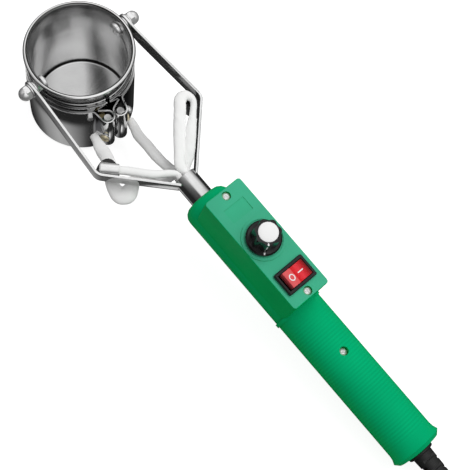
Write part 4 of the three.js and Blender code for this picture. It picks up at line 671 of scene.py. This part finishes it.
def coil_points():
    """Radius falls and rises by one pitch a turn about the middle turn, where height climbs smoothly over half a
    turn."""
    total = 2 * COIL_TURNS + (COIL_TAIL - COIL_START) / 360
    turn = total * np.linspace(0, 1, int(round(total * COIL_STEPS)) + 1)
    radius = COIL_OUTER - COIL_PITCH * (COIL_TURNS - np.abs(turn - COIL_TURNS))
    t = np.clip((turn - COIL_TURNS + COIL_CLIMB / 2) / COIL_CLIMB, 0, 1)
    angle = np.radians(COIL_START) + 2 * math.pi * turn
    points = polar(radius, angle, CORD_RADIUS + COIL_RISE * t * t * (3 - 2 * t)) + (*COIL_PLACE, 0)
    ahead = unit(points[-1] - points[-2])
    return np.vstack([points, points[-1] + ahead * 2 * CORD_RADIUS]), ahead


def cord_points():
    """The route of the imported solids: out of the strain relief, along the bench, round the coil and on to the plug."""
    start = leaning([[RELIEF_TIP - RELIEF_BORE + SEAT_GAP, 0, 0], [RELIEF_TIP + 2 * CORD_RADIUS, 0, 0]]) / MM
    coil, ahead = coil_points()
    straight = start[1]
    last = np.array([coil[0][0] - 2 * CORD_RADIUS - SEAT_GAP, coil[0][1], CORD_RADIUS])
    way, aside, height = CORD_SHARES.T
    bench = np.stack([straight[0] + (last[0] - straight[0]) * way, last[1] * aside,
                      CORD_RADIUS + (straight[2] - CORD_RADIUS) * height], axis=-1)
    reach, drop = TAIL_SHARES.T
    tail = coil[-1] + (reach[:, None] * TAIL_LENGTH + SEAT_GAP) * ahead - drop[:, None] * COIL_RISE * UP
    return np.vstack([start, bench, last, coil, tail])


cord_path = smooth_path(cord_points(), CORD_STEP)
cord_section = polar(CORD_RADIUS - CORD_INSET, full_turn(CORD_SIDES, 0.5))
mains_cord = piece("mains_cord", swept_mesh("mains_cord", carried(cord_path, cord_section) * MM, 50, (1.0, 2.0)),
                   "rubber", "handle", ("cord", "cord_coil", "cord_tail"))


# Cup

WALL_INNER, WALL_OUTER = 30.2, 30.9
CUP_TOP, CUP_FLOOR, CUP_BOTTOM = 4.2, -60, -61.2
BEAD = 1.35

cup_profile = np.vstack([
    [(0, CUP_FLOOR), (10, CUP_FLOOR), (20, CUP_FLOOR)], arc((28.2, -58), 2, -90, 0, 8),
    [(WALL_INNER, -40), (WALL_INNER, -20), (WALL_INNER, CUP_TOP)],
    arc((WALL_OUTER + 0.45 + BEAD, 7.8 - BEAD), BEAD, 172, -128, 22),
    [(WALL_OUTER, CUP_TOP), (WALL_OUTER, -20), (WALL_OUTER, -40)], arc((28.2, -58.5), 2.7, 0, -90, 8),
    [(20, CUP_BOTTOM), (0, CUP_BOTTOM)],
])
ring_piece("cup", [upright(turned(cup_profile, 192))], 40, "cup", "pot", "pot_cup")


# Band heater

def band(name, node, inner, thickness, top, gap):
    """A strip bent round the cup with a gap, in degrees, at either side of X: a rounded upright rectangle carried
    round an arc."""
    angle = np.radians(np.linspace(gap, 360 - gap, 181))
    path = polar(inner + thickness / 2, angle, (BAND_LOW + top) / 2)
    grid = carried(path, box_section(thickness, top - BAND_LOW, SHEET_EDGE))
    ring_piece(name, [on_heater(grid)], 50, "band", "pot", node, caps=True)


BAND_LOW = -59.7
SHEET_EDGE = 0.06
band("sheath", "heater_sheath", 31.1, 0.65, -4.9, 2.5)
band("strap", "heater_strap", 31.95, 0.8, -8.4, 1.5)

COVER_MIDDLE = 33.3
COVER_WALL = 0.5
COVER_LOW, COVER_TOP = -60.0, -12.4
LOBE_LOW = -44.0
LOBE_RADIUS = 4.05
LOBE_REACH = 9
LOBE_CENTRE = np.array([COVER_MIDDLE - LOBE_RADIUS + LOBE_REACH + COVER_WALL, 4.6])
LOBE_BEND = 3.0
LEAVE_ANGLE, RETURN_ANGLE = 17.6, 13
LEAVE = polar(COVER_MIDDLE, math.radians(LEAVE_ANGLE))
RETURN = polar(COVER_MIDDLE, math.radians(RETURN_ANGLE))


def touch_angle(point, side):
    """Where a line from a point touches the lobe's circle: the point's direction plus or minus the angle whose
    cosine is the radius over its distance."""
    away = point - LOBE_CENTRE
    return math.atan2(away[1], away[0]) + side * math.acos(LOBE_RADIUS / np.linalg.norm(away))


TOUCH_ANGLE = touch_angle(LEAVE, -1)
TOUCH = LOBE_CENTRE + polar(LOBE_RADIUS, TOUCH_ANGLE)
FLAT_AHEAD = unit(TOUCH - LEAVE)
FLAT_OUT = np.array([-FLAT_AHEAD[1], FLAT_AHEAD[0]])


def cover_line():
    """Half of the cover's middle line: round the back, bent off straight to a lobe, round it and back in. The flag
    beside each point says whether the sheet stops at the lobe's lower end there."""
    last = math.degrees(touch_angle(RETURN, 1)) - 360
    body = arc((0, 0), COVER_MIDDLE, 180, LEAVE_ANGLE + math.degrees(LOBE_BEND / COVER_MIDDLE), 130)
    bend = rounded([body[-1], LEAVE, TOUCH], 0.7 * LOBE_BEND, 6)[1:-1]
    lobe = arc(LOBE_CENTRE, LOBE_RADIUS, math.degrees(TOUCH_ANGLE), last, 44)
    edge = LEAVE + (TOUCH - LEAVE) * LOBE_BEND / (TOUCH[0] - LEAVE[0])
    flat = [edge + (TOUCH - LEAVE) * t for t in (0, 0.003, 0.25, 0.5)]
    inner = lobe[-1] + (RETURN - lobe[-1]) * np.linspace(0, 1, 8)[1:, None]
    line = np.vstack([body, bend, flat, lobe, inner])
    return line, np.arange(len(line)) > len(body) + len(bend)


def cover_grid():
    """A thin upright rectangle with rounded edges, thicker in its upper half, carried along the cover's line; its
    lower edge rises at the lobes."""
    half, high = cover_line()
    line = np.vstack([half[1:][::-1] * (1, -1), half])
    low = np.where(np.concatenate([high[1:][::-1], high]), LOBE_LOW, COVER_LOW)
    least = 10
    outline = box_section(COVER_WALL, least, SHEET_EDGE)
    outline[:, 0] *= np.where(outline[:, 1] > 0, 2.0, 1.0)
    section = np.repeat(outline[None], len(line), axis=0)
    section[:, :, 1] += np.sign(section[:, :, 1]) * (COVER_TOP - low[:, None] - least) / 2
    return carried(np.column_stack([line, (low + COVER_TOP) / 2]), section, np.column_stack([line, 0 * low]))


ring_piece("cover", [on_heater(cover_grid())], 50, "cover", "pot", "heater_cover", caps=True)


# Screws, nuts and washers

HEAD_RINGS, HEAD_STEPS = 26, 96
HEAD_EDGE = 0.3
DOME_DROP = 0.42
NUT_CHAMFER = 0.35
NUT_STEPS = 120


def cross_head(radius, height, width, depth, reach, shank, length, crossed=True):
    """A pan head with a recess of one or two crossed slots: a low dome over the head's circle, lowered inside each
    slot, then the side, the underside and the shank. Height 0 is under the head."""
    r = radius * np.linspace(0, 1, HEAD_RINGS)[:, None]
    dome = polar(r, full_turn(HEAD_STEPS), height * (1 - DOME_DROP * (r / radius) ** 3))
    x, y = dome[..., 0], dome[..., 1]

    def arm(a, b):
        inside = np.clip((width / 2 - np.abs(a)) / (0.2 * width) + 0.5, 0, 1)
        along = np.clip((reach * radius - np.abs(b)) / (0.12 * radius) + 0.5, 0, 1)
        return inside * along * (1 - 0.5 * np.clip(np.abs(b) / (reach * radius), 0, 1))

    dome[..., 2] -= depth * (np.maximum(arm(x, y), arm(y, x)) if crossed else arm(y, x))
    side = [(radius, height * HEAD_EDGE), (radius * 0.98, 0), (shank, 0), (shank, -length), (0, -length)]
    return np.concatenate([dome, turned(side, HEAD_STEPS)])


def nut_grid(across, low, high):
    """A hexagon whose corners are turned down: radius is the smaller of the hexagon's and a ring's, by height."""
    angle = full_turn(NUT_STEPS)
    hexagon = across / 2 / np.cos((angle + math.pi / 6) % (math.pi / 3) - math.pi / 6)
    corner = across / math.sqrt(3)
    limits = ((0.0, low), (across / 2, low), (corner, low + NUT_CHAMFER), (corner, high - NUT_CHAMFER),
              (across / 2, high), (0.0, high))
    return np.array([polar(np.minimum(hexagon, limit), angle, height) for limit, height in limits])


def washer_grid(outer, low, high):
    return turned(rounded([(2.3, low), (outer, low), (outer, high), (2.3, high), (2.3, low)], 0.2), 64)


PIVOT_HEAD = WALL_INNER - SEAT_GAP - 0.25
ARM_SPACING = 36.9
ARM_SHEET = 1.5
ARM_FACE = ARM_SPACING + ARM_SHEET / 2 + SEAT_GAP
NUT_SEAT = ARM_FACE + 0.8 + SEAT_GAP
CAP_RADIUS, CAP_BASE, CAP_HEIGHT = 4.3, NUT_SEAT + 3, 4
cap_profile = np.vstack([[(CAP_RADIUS, NUT_SEAT + 2.6)],
                         arc((0, 0), 1, 0, 90, 12) * (CAP_RADIUS, CAP_HEIGHT) + (0, CAP_BASE)])
PIVOT_HEAD_GRID = cross_head(4.4, 3.0, 1.0, 1.4, 0.6, 2, 12) * (1, 1, -1) + (0, 0, PIVOT_HEAD)
PIVOT_PARTS = (
    ("pivot_screw_{}_head", "pivot_screw", [PIVOT_HEAD_GRID], 30),
    ("spacer_nut_{}", "pivot_nut", [nut_grid(7, 31.2, 34.2)], 25),
    ("inner_washer_{}", "pivot_washer", [washer_grid(4.5, 34.55, 35.85)], 40),
    ("wide_washer_{}", "outer_washer", [washer_grid(4.8, ARM_FACE, ARM_FACE + 0.8)], 40),
    ("acorn_nut_{}", "dome_nut", [nut_grid(8.3, NUT_SEAT, NUT_SEAT + 3.2), turned(cap_profile)], 25),
)
for word, side in SIDES:
    for name, node, grids, smooth in PIVOT_PARTS:
        ring_piece(name.format(word), [upright(along_y(grid) * (side, side, 1)) for grid in grids], smooth,
                   "hardware", "pot", f"{node}_{word}")


# Yoke

TUBE_RADIUS = 7.6
TUBE_MOUTH, TUBE_END = 98.5, 146.5
BEND = np.array([66.4, 41.2])
ARM_HEIGHT = 10.0
ARM_TIP = -5.8
RIGHT_ARM_EXTRA = 2.6


def arm_grid(side):
    """The strip's section carried along its bent line; its height follows a half circle round the pivot."""
    mouth = np.array([TUBE_MOUTH + ARM_SHEET, TUBE_RADIUS + ARM_SHEET / 2])
    weld = mouth + unit(mouth - BEND) * 3.0
    line = rounded([(ARM_TIP, ARM_SPACING), (7, ARM_SPACING), BEND, weld], [0, 6, 3, 0], 8)
    half = ARM_HEIGHT / 2
    start = ARM_TIP + half * (1 - np.cos(np.linspace(0, math.pi / 2, 12)))
    line = np.vstack([np.column_stack([start, np.full(len(start), ARM_SPACING)]), line[1:]])
    height = np.full(len(line), ARM_HEIGHT)
    height[:len(start)] *= np.sqrt(np.clip(1 - ((ARM_TIP + half - start) / half) ** 2, 0.002, 1))
    wider = RIGHT_ARM_EXTRA * np.interp(line[:, 0], [4, 14, 58, 66], [0, 1, 1, 0.3]) * (side > 0)
    section = np.repeat(box_section(ARM_SHEET, ARM_HEIGHT, 0.12)[None], len(line), axis=0)
    section[:, :, 1] *= ((height + wider) / ARM_HEIGHT)[:, None]
    return leaning(carried(np.column_stack([line[:, 0], side * line[:, 1], -wider / 2]), section))


for word, side in SIDES:
    ring_piece(f"yoke_arm_{word}", [arm_grid(side)], 40, "yoke", "handle", f"arm_{word}", caps=True)

BORE = TUBE_RADIUS - 1
tube_wall = rounded([(BORE, TUBE_MOUTH), (TUBE_RADIUS, TUBE_MOUTH), (TUBE_RADIUS, TUBE_END), (BORE, TUBE_END),
                     (BORE, TUBE_MOUTH)], 0.25, 3)
ring_piece("yoke_tube", [leaning(along_x(turned(tube_wall)))], 40, "tube", "handle", "tube")


# Terminals, and the sleeved leads that start at them

LUG_THICKNESS = 0.6
LUG_HEAD, LUG_TAIL, LUG_WIDTH = 3.0, 7, 3
LUG_TURN = {-1: math.radians(152), 1: math.radians(-90)}
SLEEVE = 2.7
SLEEVE_MOUTH = 2.15
SLEEVE_STEP = 0.55
SLEEVE_SIDES = 32
SLEEVE_INSET = 0.05
SLACK_RADIUS = 2.2
END_LENGTH = 6
DENTS = 9
DENT_DEPTH = 0.06
LEAD_SHARES = {
    -1: [
        (0.081, -0.510, -0.350, 1), (0.130, -0.529, -0.343, 1.2), (0.202, -0.551, -0.330, 1.35),
        (0.281, -0.580, -0.294, 1.35), (0.392, -0.655, -0.237, 1.35), (0.512, -0.777, -0.196, 1.3),
        (0.632, -0.850, -0.180, 1.45), (0.717, -0.840, -0.172, 1.8), (0.755, -0.765, -0.163, 1.8),
        (0.735, -0.670, -0.160, 1.5), (0.700, -0.587, -0.154, 1.3), (0.693, -0.495, -0.147, 1.1),
        (0.728, -0.403, -0.144, 1.1), (0.803, -0.306, -0.131, 1), (0.880, -0.218, -0.106, 1),
    ],
    1: [
        (0.108, 0.175, -0.556, 1.2), (0.225, 0.112, -0.490, 1.35), (0.395, 0.063, -0.376, 1.35),
        (0.595, 0.000, -0.248, 1.35), (0.780, -0.015, -0.152, 1.2),
    ],
}
EARTH_OUT = [(0.985, 3.7, 1), (0.774, 4.2, 1), (0.503, 4.5, 1.1), (0.229, 4.7, 1.1), (0.081, 4.75, 1.1),
             (0.022, 3.6, 1)]
EARTH_BACK = [(0.07, 1.95, 0.8), (0.243, 1.7, 0.8), (0.42, 1.85, 0.95), (0.613, 1.9, 1)]
FLATTENED = {"lead_left": (1.2, 0.66), "lead_right": (0.98, 0.6), "earth_lead_left": (1.0, 0.86),
             "earth_lead_right": (1.3, 0.78)}
BENDING = {"lead_left": 0.5, "lead_right": 0.8}
STIFF_END = 1.5


def terminal_frame(side):
    """The sheet's middle at a terminal screw with its outward normal: on the left lobe's round end, on the right
    lobe's flat wall. Both are in the heater's own turn."""
    if side < 0:
        normal = polar(1, math.radians(-53), 0)
        return np.array([*(LOBE_CENTRE * (1, -1)), -31.4]) + LOBE_RADIUS * normal, normal
    return np.array([*(LEAVE + (TOUCH - LEAVE) * 0.45), -34.0]), np.array([*FLAT_OUT, 0])


def lug_end(side):
    """Beside the end of the lug's tail: outwards by the stack of parts, then from the upright to the leaning frame."""
    spot, normal = terminal_frame(side)
    turn = LUG_TURN[side]
    spot = spot + normal * (COVER_WALL / 2 + 2 * LUG_THICKNESS + SLEEVE) + LUG_TAIL * (
        math.cos(turn) * np.cross(UP, normal) + math.sin(turn) * UP)
    return tipped(spun(spot, HEATER_TURN), -LEAN)


def tube_slot(index, depth):
    """One of the five places round the tube's bore where a sleeve goes in."""
    out = polar(BORE - SEAT_GAP - SLEEVE_MOUTH, index / 5 * 2 * math.pi)
    return (TUBE_MOUTH + depth, *out, SLEEVE_MOUTH)


def sleeve_route(name):
    """The stops of each sleeve along the handle, with the radius at each, as in the solid."""
    side = -1 if name.endswith("left") else 1
    if name.startswith("lead"):
        start = lug_end(side)
        stops = [(start[0] + (TUBE_MOUTH - start[0]) * way, aside * BEND[1], height * PIVOT_HEIGHT, size * SLEEVE)
                 for way, aside, height, size in LEAD_SHARES[side]]
        index, lead = (3, -3.5) if side < 0 else (4, -3)
        return [(*start, SLEEVE), *stops, *[tube_slot(index, depth) for depth in (lead, 1, 8)]]
    bend = BEND * (1, side)
    past = np.array([TUBE_MOUTH + ARM_SHEET, side * (TUBE_RADIUS + ARM_SHEET / 2)])
    ahead = unit(past - bend)
    inward = np.array([ahead[1], -ahead[0]]) * side

    def beside(share, offset, size=1.0, height=1.2 + SLEEVE):
        spot = bend + (past - bend) * share + inward * offset
        return (*spot, height, size * SLEEVE)

    if side < 0:
        return [*[beside(share, ARM_SHEET / 2 + 1.2 + SLEEVE) for share in (0.01, 0.255, 0.468, 0.681)],
                *[tube_slot(2, depth) for depth in (-3.5, 1, 8)]]
    return [tube_slot(1, 8), tube_slot(1, 1),
            *[beside(way, radii * SLEEVE, size) for way, radii, size in EARTH_OUT + EARTH_BACK],
            beside(0.83, 1.95 * SLEEVE, 1.0, 2.4), *[tube_slot(0, depth) for depth in (-2, 2, 8)]]


def dress_sleeve(node):
    """A loose sleeve on its route: an oval that lies flatter where the sleeve is slack, with slow shallow dents that
    differ along and round it. A heater lead is given the pot, the handle and two places along it."""
    path = smooth_path(sleeve_route(node), SLEEVE_STEP)
    way, radius = path[:, :3], path[:, 3:]
    angle = full_turn(SLEEVE_SIDES, 0.5)
    rng = np.random.default_rng(len(node))
    gone = np.arange(len(way))[:, None] * SLEEVE_STEP
    dents = np.zeros((len(way), len(angle)))
    for _ in range(DENTS):
        wave, turn = rng.uniform(3, 12), rng.integers(1, 5)
        dents += np.sin(gone * 2 * math.pi / wave + turn * angle + rng.uniform(0, 6.3)) / DENTS
    ease = np.clip(np.minimum(gone, gone[::-1]) / END_LENGTH, 0, 1)
    size = radius * (1 + DENT_DEPTH * dents * ease) - SLEEVE_INSET
    loose = np.clip((radius - SLACK_RADIUS) / 0.5, 0, 1) * ease
    section = polar(size, angle) * (1 + (np.array(FLATTENED[node]) - 1) * loose[..., None])
    mesh = swept_mesh(node + "_sleeve", leaning(carried(way, section)), 60, (SLEEVE_STEP, 0.6))
    body = "handle"
    if node in BENDING:
        lug = way[0, 0]
        reach = (TUBE_MOUTH - lug) * BENDING[node]
        body = ("pot", "handle", *leaning([(lug + STIFF_END, 0, 0), (lug + reach, 0, 0)]).tolist())
    piece(node + "_sleeve", mesh, "sleeving", body, (node,))


for node in FLATTENED:
    dress_sleeve(node)


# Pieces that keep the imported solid's shape, with smooth faces

for key, body, nodes in (
    ("green", "handle", ("handle_upper", "handle_lower")),
    ("knob", "dial", ("dial_knob",)),
    ("white", "dial", ("dial_cap",)),
    ("black", "handle", ("switch_housing",)),
    ("red", "rocker", ("switch_rocker",)),
    ("rubber", "handle", ("strain_relief",)),
    # The cable tabs take the painted shade of the near-black steel.
    ("tab", "handle", ("cable_tab_left", "cable_tab_right")),
    ("hardware", "handle", ("cable_clip",)),
    ("rubber", "handle", ("plug_body",)),
):
    for node in nodes:
        piece(node + "_finished", solid_copy(node), key, body, (node,))

FACE_LEVEL = 36.8
GRIP_RADIUS = 15.4
HANDLE_SCREW_HEAD, HANDLE_SCREW_BITE = 1.8, 12.6
for node, place, top in (("face_screw_front", 128.1, FACE_LEVEL - 0.9), ("face_screw_rear", 199.6, FACE_LEVEL - 0.9),
                         ("grip_screw", 239.7, GRIP_RADIUS - 2.4)):
    seat = top - HANDLE_SCREW_HEAD
    head = cross_head(2.45, HANDLE_SCREW_HEAD, 0.62, 0.8, 0.66, 1.45, seat + HANDLE_SCREW_BITE) + (place, 0, seat)
    ring_piece(node + "_head", [leaning(head)], 30, "hardware", "handle", node)


# Dial pointer and the marks on the rocker

BOX_START, BOX_LENGTH = 124, 79.5
DIAL_PLACE = BOX_START + BOX_LENGTH * 0.4616
SKIRT_TOP = FACE_LEVEL + 0.8 + 2.2
KNOB_TOP = FACE_LEVEL + 0.8 + 13.6
KNOB_BASE_RADIUS, KNOB_TOP_RADIUS = 8.8, 8.1
POINTER_ANGLE = math.radians(-41)


def pointer_bar(line, width):
    """A flat bar carried along a line of (distance from the dial's axis, height), a little proud of what it lies on."""
    line = np.asarray(line, float)
    path = np.column_stack([line[:, 0], 0 * line[:, 0], line[:, 1]])
    return leaning(spun(carried(path, box_section(width, 0.24, 0.1)), POINTER_ANGLE) + (DIAL_PLACE, 0, 0))


def side_radius(height):
    """Distance of the knob's fluted side from its axis along a rib, which tapers evenly from skirt to top."""
    return KNOB_BASE_RADIUS + (KNOB_TOP_RADIUS - KNOB_BASE_RADIUS) * (height - SKIRT_TOP) / (KNOB_TOP - SKIRT_TOP)


ring_piece("pointer_line", [
    pointer_bar([(r, KNOB_TOP) for r in (6.6, 7.3, 8.0)], 0.85),
    pointer_bar([(side_radius(h), h) for h in (KNOB_TOP - 2.6, KNOB_TOP - 4.2, KNOB_TOP - 5.8)], 0.7),
    pointer_bar([(r, SKIRT_TOP + 0.05) for r in (9.0, 9.7, 10.3)], 0.9),
], 40, "white", "dial", "dial_pointer", caps=True)

ROCKER_PIVOT = (188.3, FACE_LEVEL - 3.4)
ROCKER_TILT = math.radians(-9)
ROCKER_VALLEY, ROCKER_SLOPE = 3.4 + 1, 2.2 / 7.7
MARK_PLACE, MARK_LIFT = 3.7, 0.05


def on_rocker(x, y, lift):
    """Across and along the rocker to the bench: the height is the valley's plus the slope of its two faces, all of it
    tipped about the cross pin."""
    height = ROCKER_VALLEY + np.abs(y) * ROCKER_SLOPE + lift
    c, s = math.cos(ROCKER_TILT), math.sin(ROCKER_TILT)
    return leaning(np.stack([ROCKER_PIVOT[0] + x, y * c - height * s, ROCKER_PIVOT[1] + y * s + height * c], axis=-1))


def rocker_marks():
    """A ring on one half and a bar on the other: flat grids a hair above the face, with their edges sunk into it."""
    circle = polar(1, full_turn(48))
    y = np.linspace(1.3, 4.9, 9)
    lifts = MARK_LIFT * np.array([-1, 1, 1, -1, -1])
    ring = [on_rocker(*(radius * circle - (0, MARK_PLACE)).T, lift)
            for radius, lift in zip((1.5, 1.52, 2.18, 2.2, 1.5), lifts)]
    bar = [on_rocker(0 * y + across, y, lift) for across, lift in zip((-0.36, -0.34, 0.34, 0.36, -0.36), lifts)]
    return mesh_of("rocker_marks", [(np.array(ring), True, False), (np.array(bar).transpose(1, 0, 2), True, True)], 40)


piece("rocker_marks", rocker_marks(), "white", "rocker")


# What the lobes hold: folded brass strips, and slotted brass screws with ring lugs

def on_wall(grid, spot, normal):
    """Points given along, up and out of a wall, to the bench."""
    return on_heater(grid[..., :1] * np.cross(UP, normal) + grid[..., 1:2] * UP + grid[..., 2:3] * normal + spot)


def slab(outline, low, high):
    """A flat outline closed to a slab between two heights; it shrinks a little at both ends to soften the rim."""
    outline = np.asarray(outline, float)
    middle = outline.mean(axis=0)
    return np.array([np.column_stack([middle + (outline - middle) * share, np.full(len(outline), height)])
                     for share, height in ((0.0, low), (0.985, low), (1, low + 0.1), (1, high - 0.1), (0.985, high),
                                           (0.0, high))])


tail_half = math.degrees(math.asin(LUG_WIDTH / 2 / LUG_HEAD))
lug_outline = np.vstack([arc((0, 0), LUG_HEAD, tail_half, 360 - tail_half, 40),
                         [(LUG_TAIL, -LUG_WIDTH / 2), (LUG_TAIL, LUG_WIDTH / 2)]])
LUG_LOW = COVER_WALL / 2 + SEAT_GAP
SCREW_SEAT = LUG_LOW + LUG_THICKNESS + SEAT_GAP
STRIP_TOP = COVER_TOP - 2.5
strip_middle = LEAVE + (TOUCH - LEAVE) * 0.42 - FLAT_OUT * (COVER_WALL / 2 + SEAT_GAP + 0.4)
strip_outline = np.array([strip_middle + FLAT_AHEAD * a * 1.7 + FLAT_OUT * b * 0.4
                          for a, b in ((-1, -1), (1, -1), (1, 1), (-1, 1))])
flange_outline = np.array([(33.75, 8.75), (37.2, 8.15), (36.35, 5.3), (35.9, 4.5), (34.9, 4.5), (34.1, 6.2)])

for word, side in SIDES:
    spot, normal = terminal_frame(side)
    lug = spun(slab(lug_outline, LUG_LOW, LUG_LOW + LUG_THICKNESS), LUG_TURN[side])
    ring_piece(f"ring_lug_{word}", [on_wall(lug, spot, normal)], 40, "hardware", "pot", f"terminal_lug_{word}")
    bite = 3.2 if side < 0 else 1.4
    head = cross_head(3.0, 2.0, 0.8, 1.0, 0.95, 1.4, SCREW_SEAT + COVER_WALL / 2 + bite, False) + (0, 0, SCREW_SEAT)
    ring_piece(f"slotted_screw_{word}", [on_wall(head, spot, normal)], 30, "brass", "pot", f"terminal_screw_{word}")
    grids = []
    for outline, bottom in ((strip_outline, STRIP_TOP - 14), (flange_outline, STRIP_TOP - 0.8)):
        outline = outline if side > 0 else (outline * (1, -1))[::-1]
        grids.append(on_heater(slab(outline, bottom, STRIP_TOP)))
    # Both folded strips take painted shade: darkened brass on the left, near-black steel on the right.
    ring_piece(f"folded_strip_{word}", grids, 40, "painted_shade_brass" if side < 0 else "tab", "pot",
               f"terminal_plate_{word}")

for key, nodes in (
    ("hardware", ("clamp_screw", "clamp_dowel_left", "clamp_dowel_right", "dial_shaft", "potentiometer")),
    ("brass", ("plug_pin_left", "plug_pin_right")),
    ("board", ("control_board",)),
):
    for node in nodes:
        paint(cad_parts[node].data, key)


# Floor, world and lamps

SKY_TONES = [(-180, 0.42), (-150, 0.4), (-126, 0.6), (-112, 0.28), (-100, 0.07), (-77, 0.05), (-64, 0.3), (-46, 0.9),
             (25, 0.98), (48, 0.85), (72, 0.5), (88, 0.55), (100, 0.95), (165, 0.95), (178, 0.42)]
ZENITH = (0.95, 0.95, 0.95, 1)
ROOM_TONES = [(0.0, grey(0.3)), (0.4, grey(0.38)), (1.0, grey(0.6))]
WHITE = (1, 1, 1, 1)
LAMP_PLACE = np.array([0.3, 0.42, 0.95])
LAMP_AIM = np.array([0.15, 0.0, 0.05])
LAMP_SIZE = (0.8, 0.5)
LAMP_WATTS = 6.0
FLOOR_REACH = 3.0
FLOOR_GLOW = 0.86
CARD_DROP = 0.1
CARDS = {
    "round_card": ([(-170, 0.0), (-150, 0.02), (-143, 0.035), (-127, 0.11), (-114, 0.25), (-100, 0.33), (-86, 0.41),
                    (-73, 0.365), (-62, 0.31), (-45, 0.167), (-33, 0.05), (-22, 0.0)],
                   [(0.03, 0.7), (0.05, 1), (0.13, 1), (0.16, 0)]),
    "lobe_card": ([(-22, 0.0), (-18, 0.95), (-11, 0.95), (-4, 0.3), (8, 0.14), (22, 0.1)],
                  [(0.09, 0), (0.1, 1), (0.13, 1), (0.145, 0)]),
}


def place_card(name, drop, tones, rings):
    """A pale card under the cup that only gloss sees. Its tone varies round the cup's axis, by (degrees, tone), and
    from its inner to its outer rim, by (radius, share), so that the sheet above it shows soft streaks."""
    tones, rings = np.array(tones), np.array(rings)
    degrees = np.arange(tones[0, 0], tones[-1, 0] + 1)
    mesh = mesh_of(name, [(polar(rings[:, :1], np.radians(degrees), -drop), False, False)])
    values = (rings[:, 1:] * np.interp(degrees, *tones.T)).ravel()
    level = mesh.color_attributes.new("level", "FLOAT_COLOR", "POINT")
    level.data.foreach_set("color", np.column_stack([values] * 3 + [0 * values + 1]).ravel().astype(np.float32))
    card = placed_object(name, mesh)
    material = bpy.data.materials.new(name + "_glow")
    material.use_nodes = True
    tree = material.node_tree
    tree.nodes.clear()
    painted = add(tree, "ShaderNodeAttribute", attribute_name="level")
    glow = add(tree, "ShaderNodeEmission", {"Color": painted.outputs["Color"]})
    clear = add(tree, "ShaderNodeBsdfTransparent")
    both = add(tree, "ShaderNodeAddShader", {0: glow.outputs["Emission"], 1: clear.outputs["BSDF"]})
    feed(tree, add(tree, "ShaderNodeOutputMaterial"), Surface=both.outputs["Shader"])
    material.cycles.emission_sampling = "NONE"
    mesh.materials.append(material)
    card.visible_camera = card.visible_diffuse = card.visible_shadow = card.visible_transmission = False


def paint_world():
    """The camera sees white, and matt surfaces a pale room that is lighter overhead. Gloss sees a sheet of light
    overhead with a dim patch in it, and a dark room below, so that metal shows streaks."""
    world = bpy.data.worlds.new("studio")
    bpy.context.scene.world = world
    world.use_nodes = True
    tree = world.node_tree
    paths = add(tree, "ShaderNodeLightPath").outputs
    seen = maths(tree, "MAXIMUM", paths["Is Camera Ray"], paths["Is Transmission Ray"])
    split = parts_of(tree, where(tree, "Generated"))
    height = split["Z"]
    share = maths(tree, "MULTIPLY_ADD", maths(tree, "ARCTAN2", split["Y"], split["X"]), 0.5 / math.pi, 0.5)
    above = ramp(tree, share, [(0.5 + degrees / 360, grey(tone)) for degrees, tone in SKY_TONES])
    above = vectors(tree, "SCALE", above, span(tree, height, 0.05, 0.7, 0.1, 1.0))
    above = mixed(tree, span(tree, height, 0.95, 1.0), above, ZENITH)
    gloss = mixed(tree, span(tree, height, -0.05, 0.1), (0.02, 0.02, 0.02, 1), above)
    room = ramp(tree, span(tree, height, -0.2, 1.0), ROOM_TONES)
    unseen = mixed(tree, paths["Is Glossy Ray"], room, gloss)
    feed(tree, tree.nodes["Background"], Color=mixed(tree, seen, unseen, WHITE))


def hang_lamp():
    """One large lamp on the right that gloss doesn't see."""
    lamp = bpy.data.lights.new("window", "AREA")
    lamp.shape = "RECTANGLE"
    lamp.size, lamp.size_y = LAMP_SIZE
    lamp.energy = LAMP_WATTS
    thing = placed_object("window", lamp)
    away = unit(LAMP_PLACE - LAMP_AIM)
    side = unit(np.cross(UP, away))
    thing.matrix_world = transform(side, np.cross(away, side), away, LAMP_PLACE)
    thing.visible_glossy = False


def lay_floor():
    """A flat white sheet. The camera sees it white, darkened only where the object shades it; gloss sees past it."""
    grid = FLOOR_REACH * np.array([[(-1, -1, 0), (1, -1, 0)], [(-1, 1, 0), (1, 1, 0)]])
    floor = placed_object("floor", mesh_of("floor", [(grid, False, False)]))
    material, tree, shader = finish("white_floor", grey(0.4), 0.9, Specular_IOR_Level=0)
    paths = add(tree, "ShaderNodeLightPath").outputs
    strength = times(tree, paths["Is Camera Ray"], FLOOR_GLOW)
    glow = add(tree, "ShaderNodeEmission", {"Color": WHITE, "Strength": strength})
    both = add(tree, "ShaderNodeAddShader", {0: shader.outputs["BSDF"], 1: glow.outputs["Emission"]})
    clear = add(tree, "ShaderNodeBsdfTransparent")
    shown = add(tree, "ShaderNodeMixShader", {0: paths["Is Glossy Ray"], 1: both.outputs["Shader"],
                                              2: clear.outputs["BSDF"]})
    feed(tree, tree.nodes["Material Output"], Surface=shown.outputs["Shader"])
    floor.data.materials.append(material)


paint_world()
hang_lamp()
for number, (name, (tones, rings)) in enumerate(CARDS.items()):
    place_card(name, CARD_DROP + 0.001 * number, tones, rings)
lay_floor()

bpy.context.scene.view_settings.view_transform = "Standard"
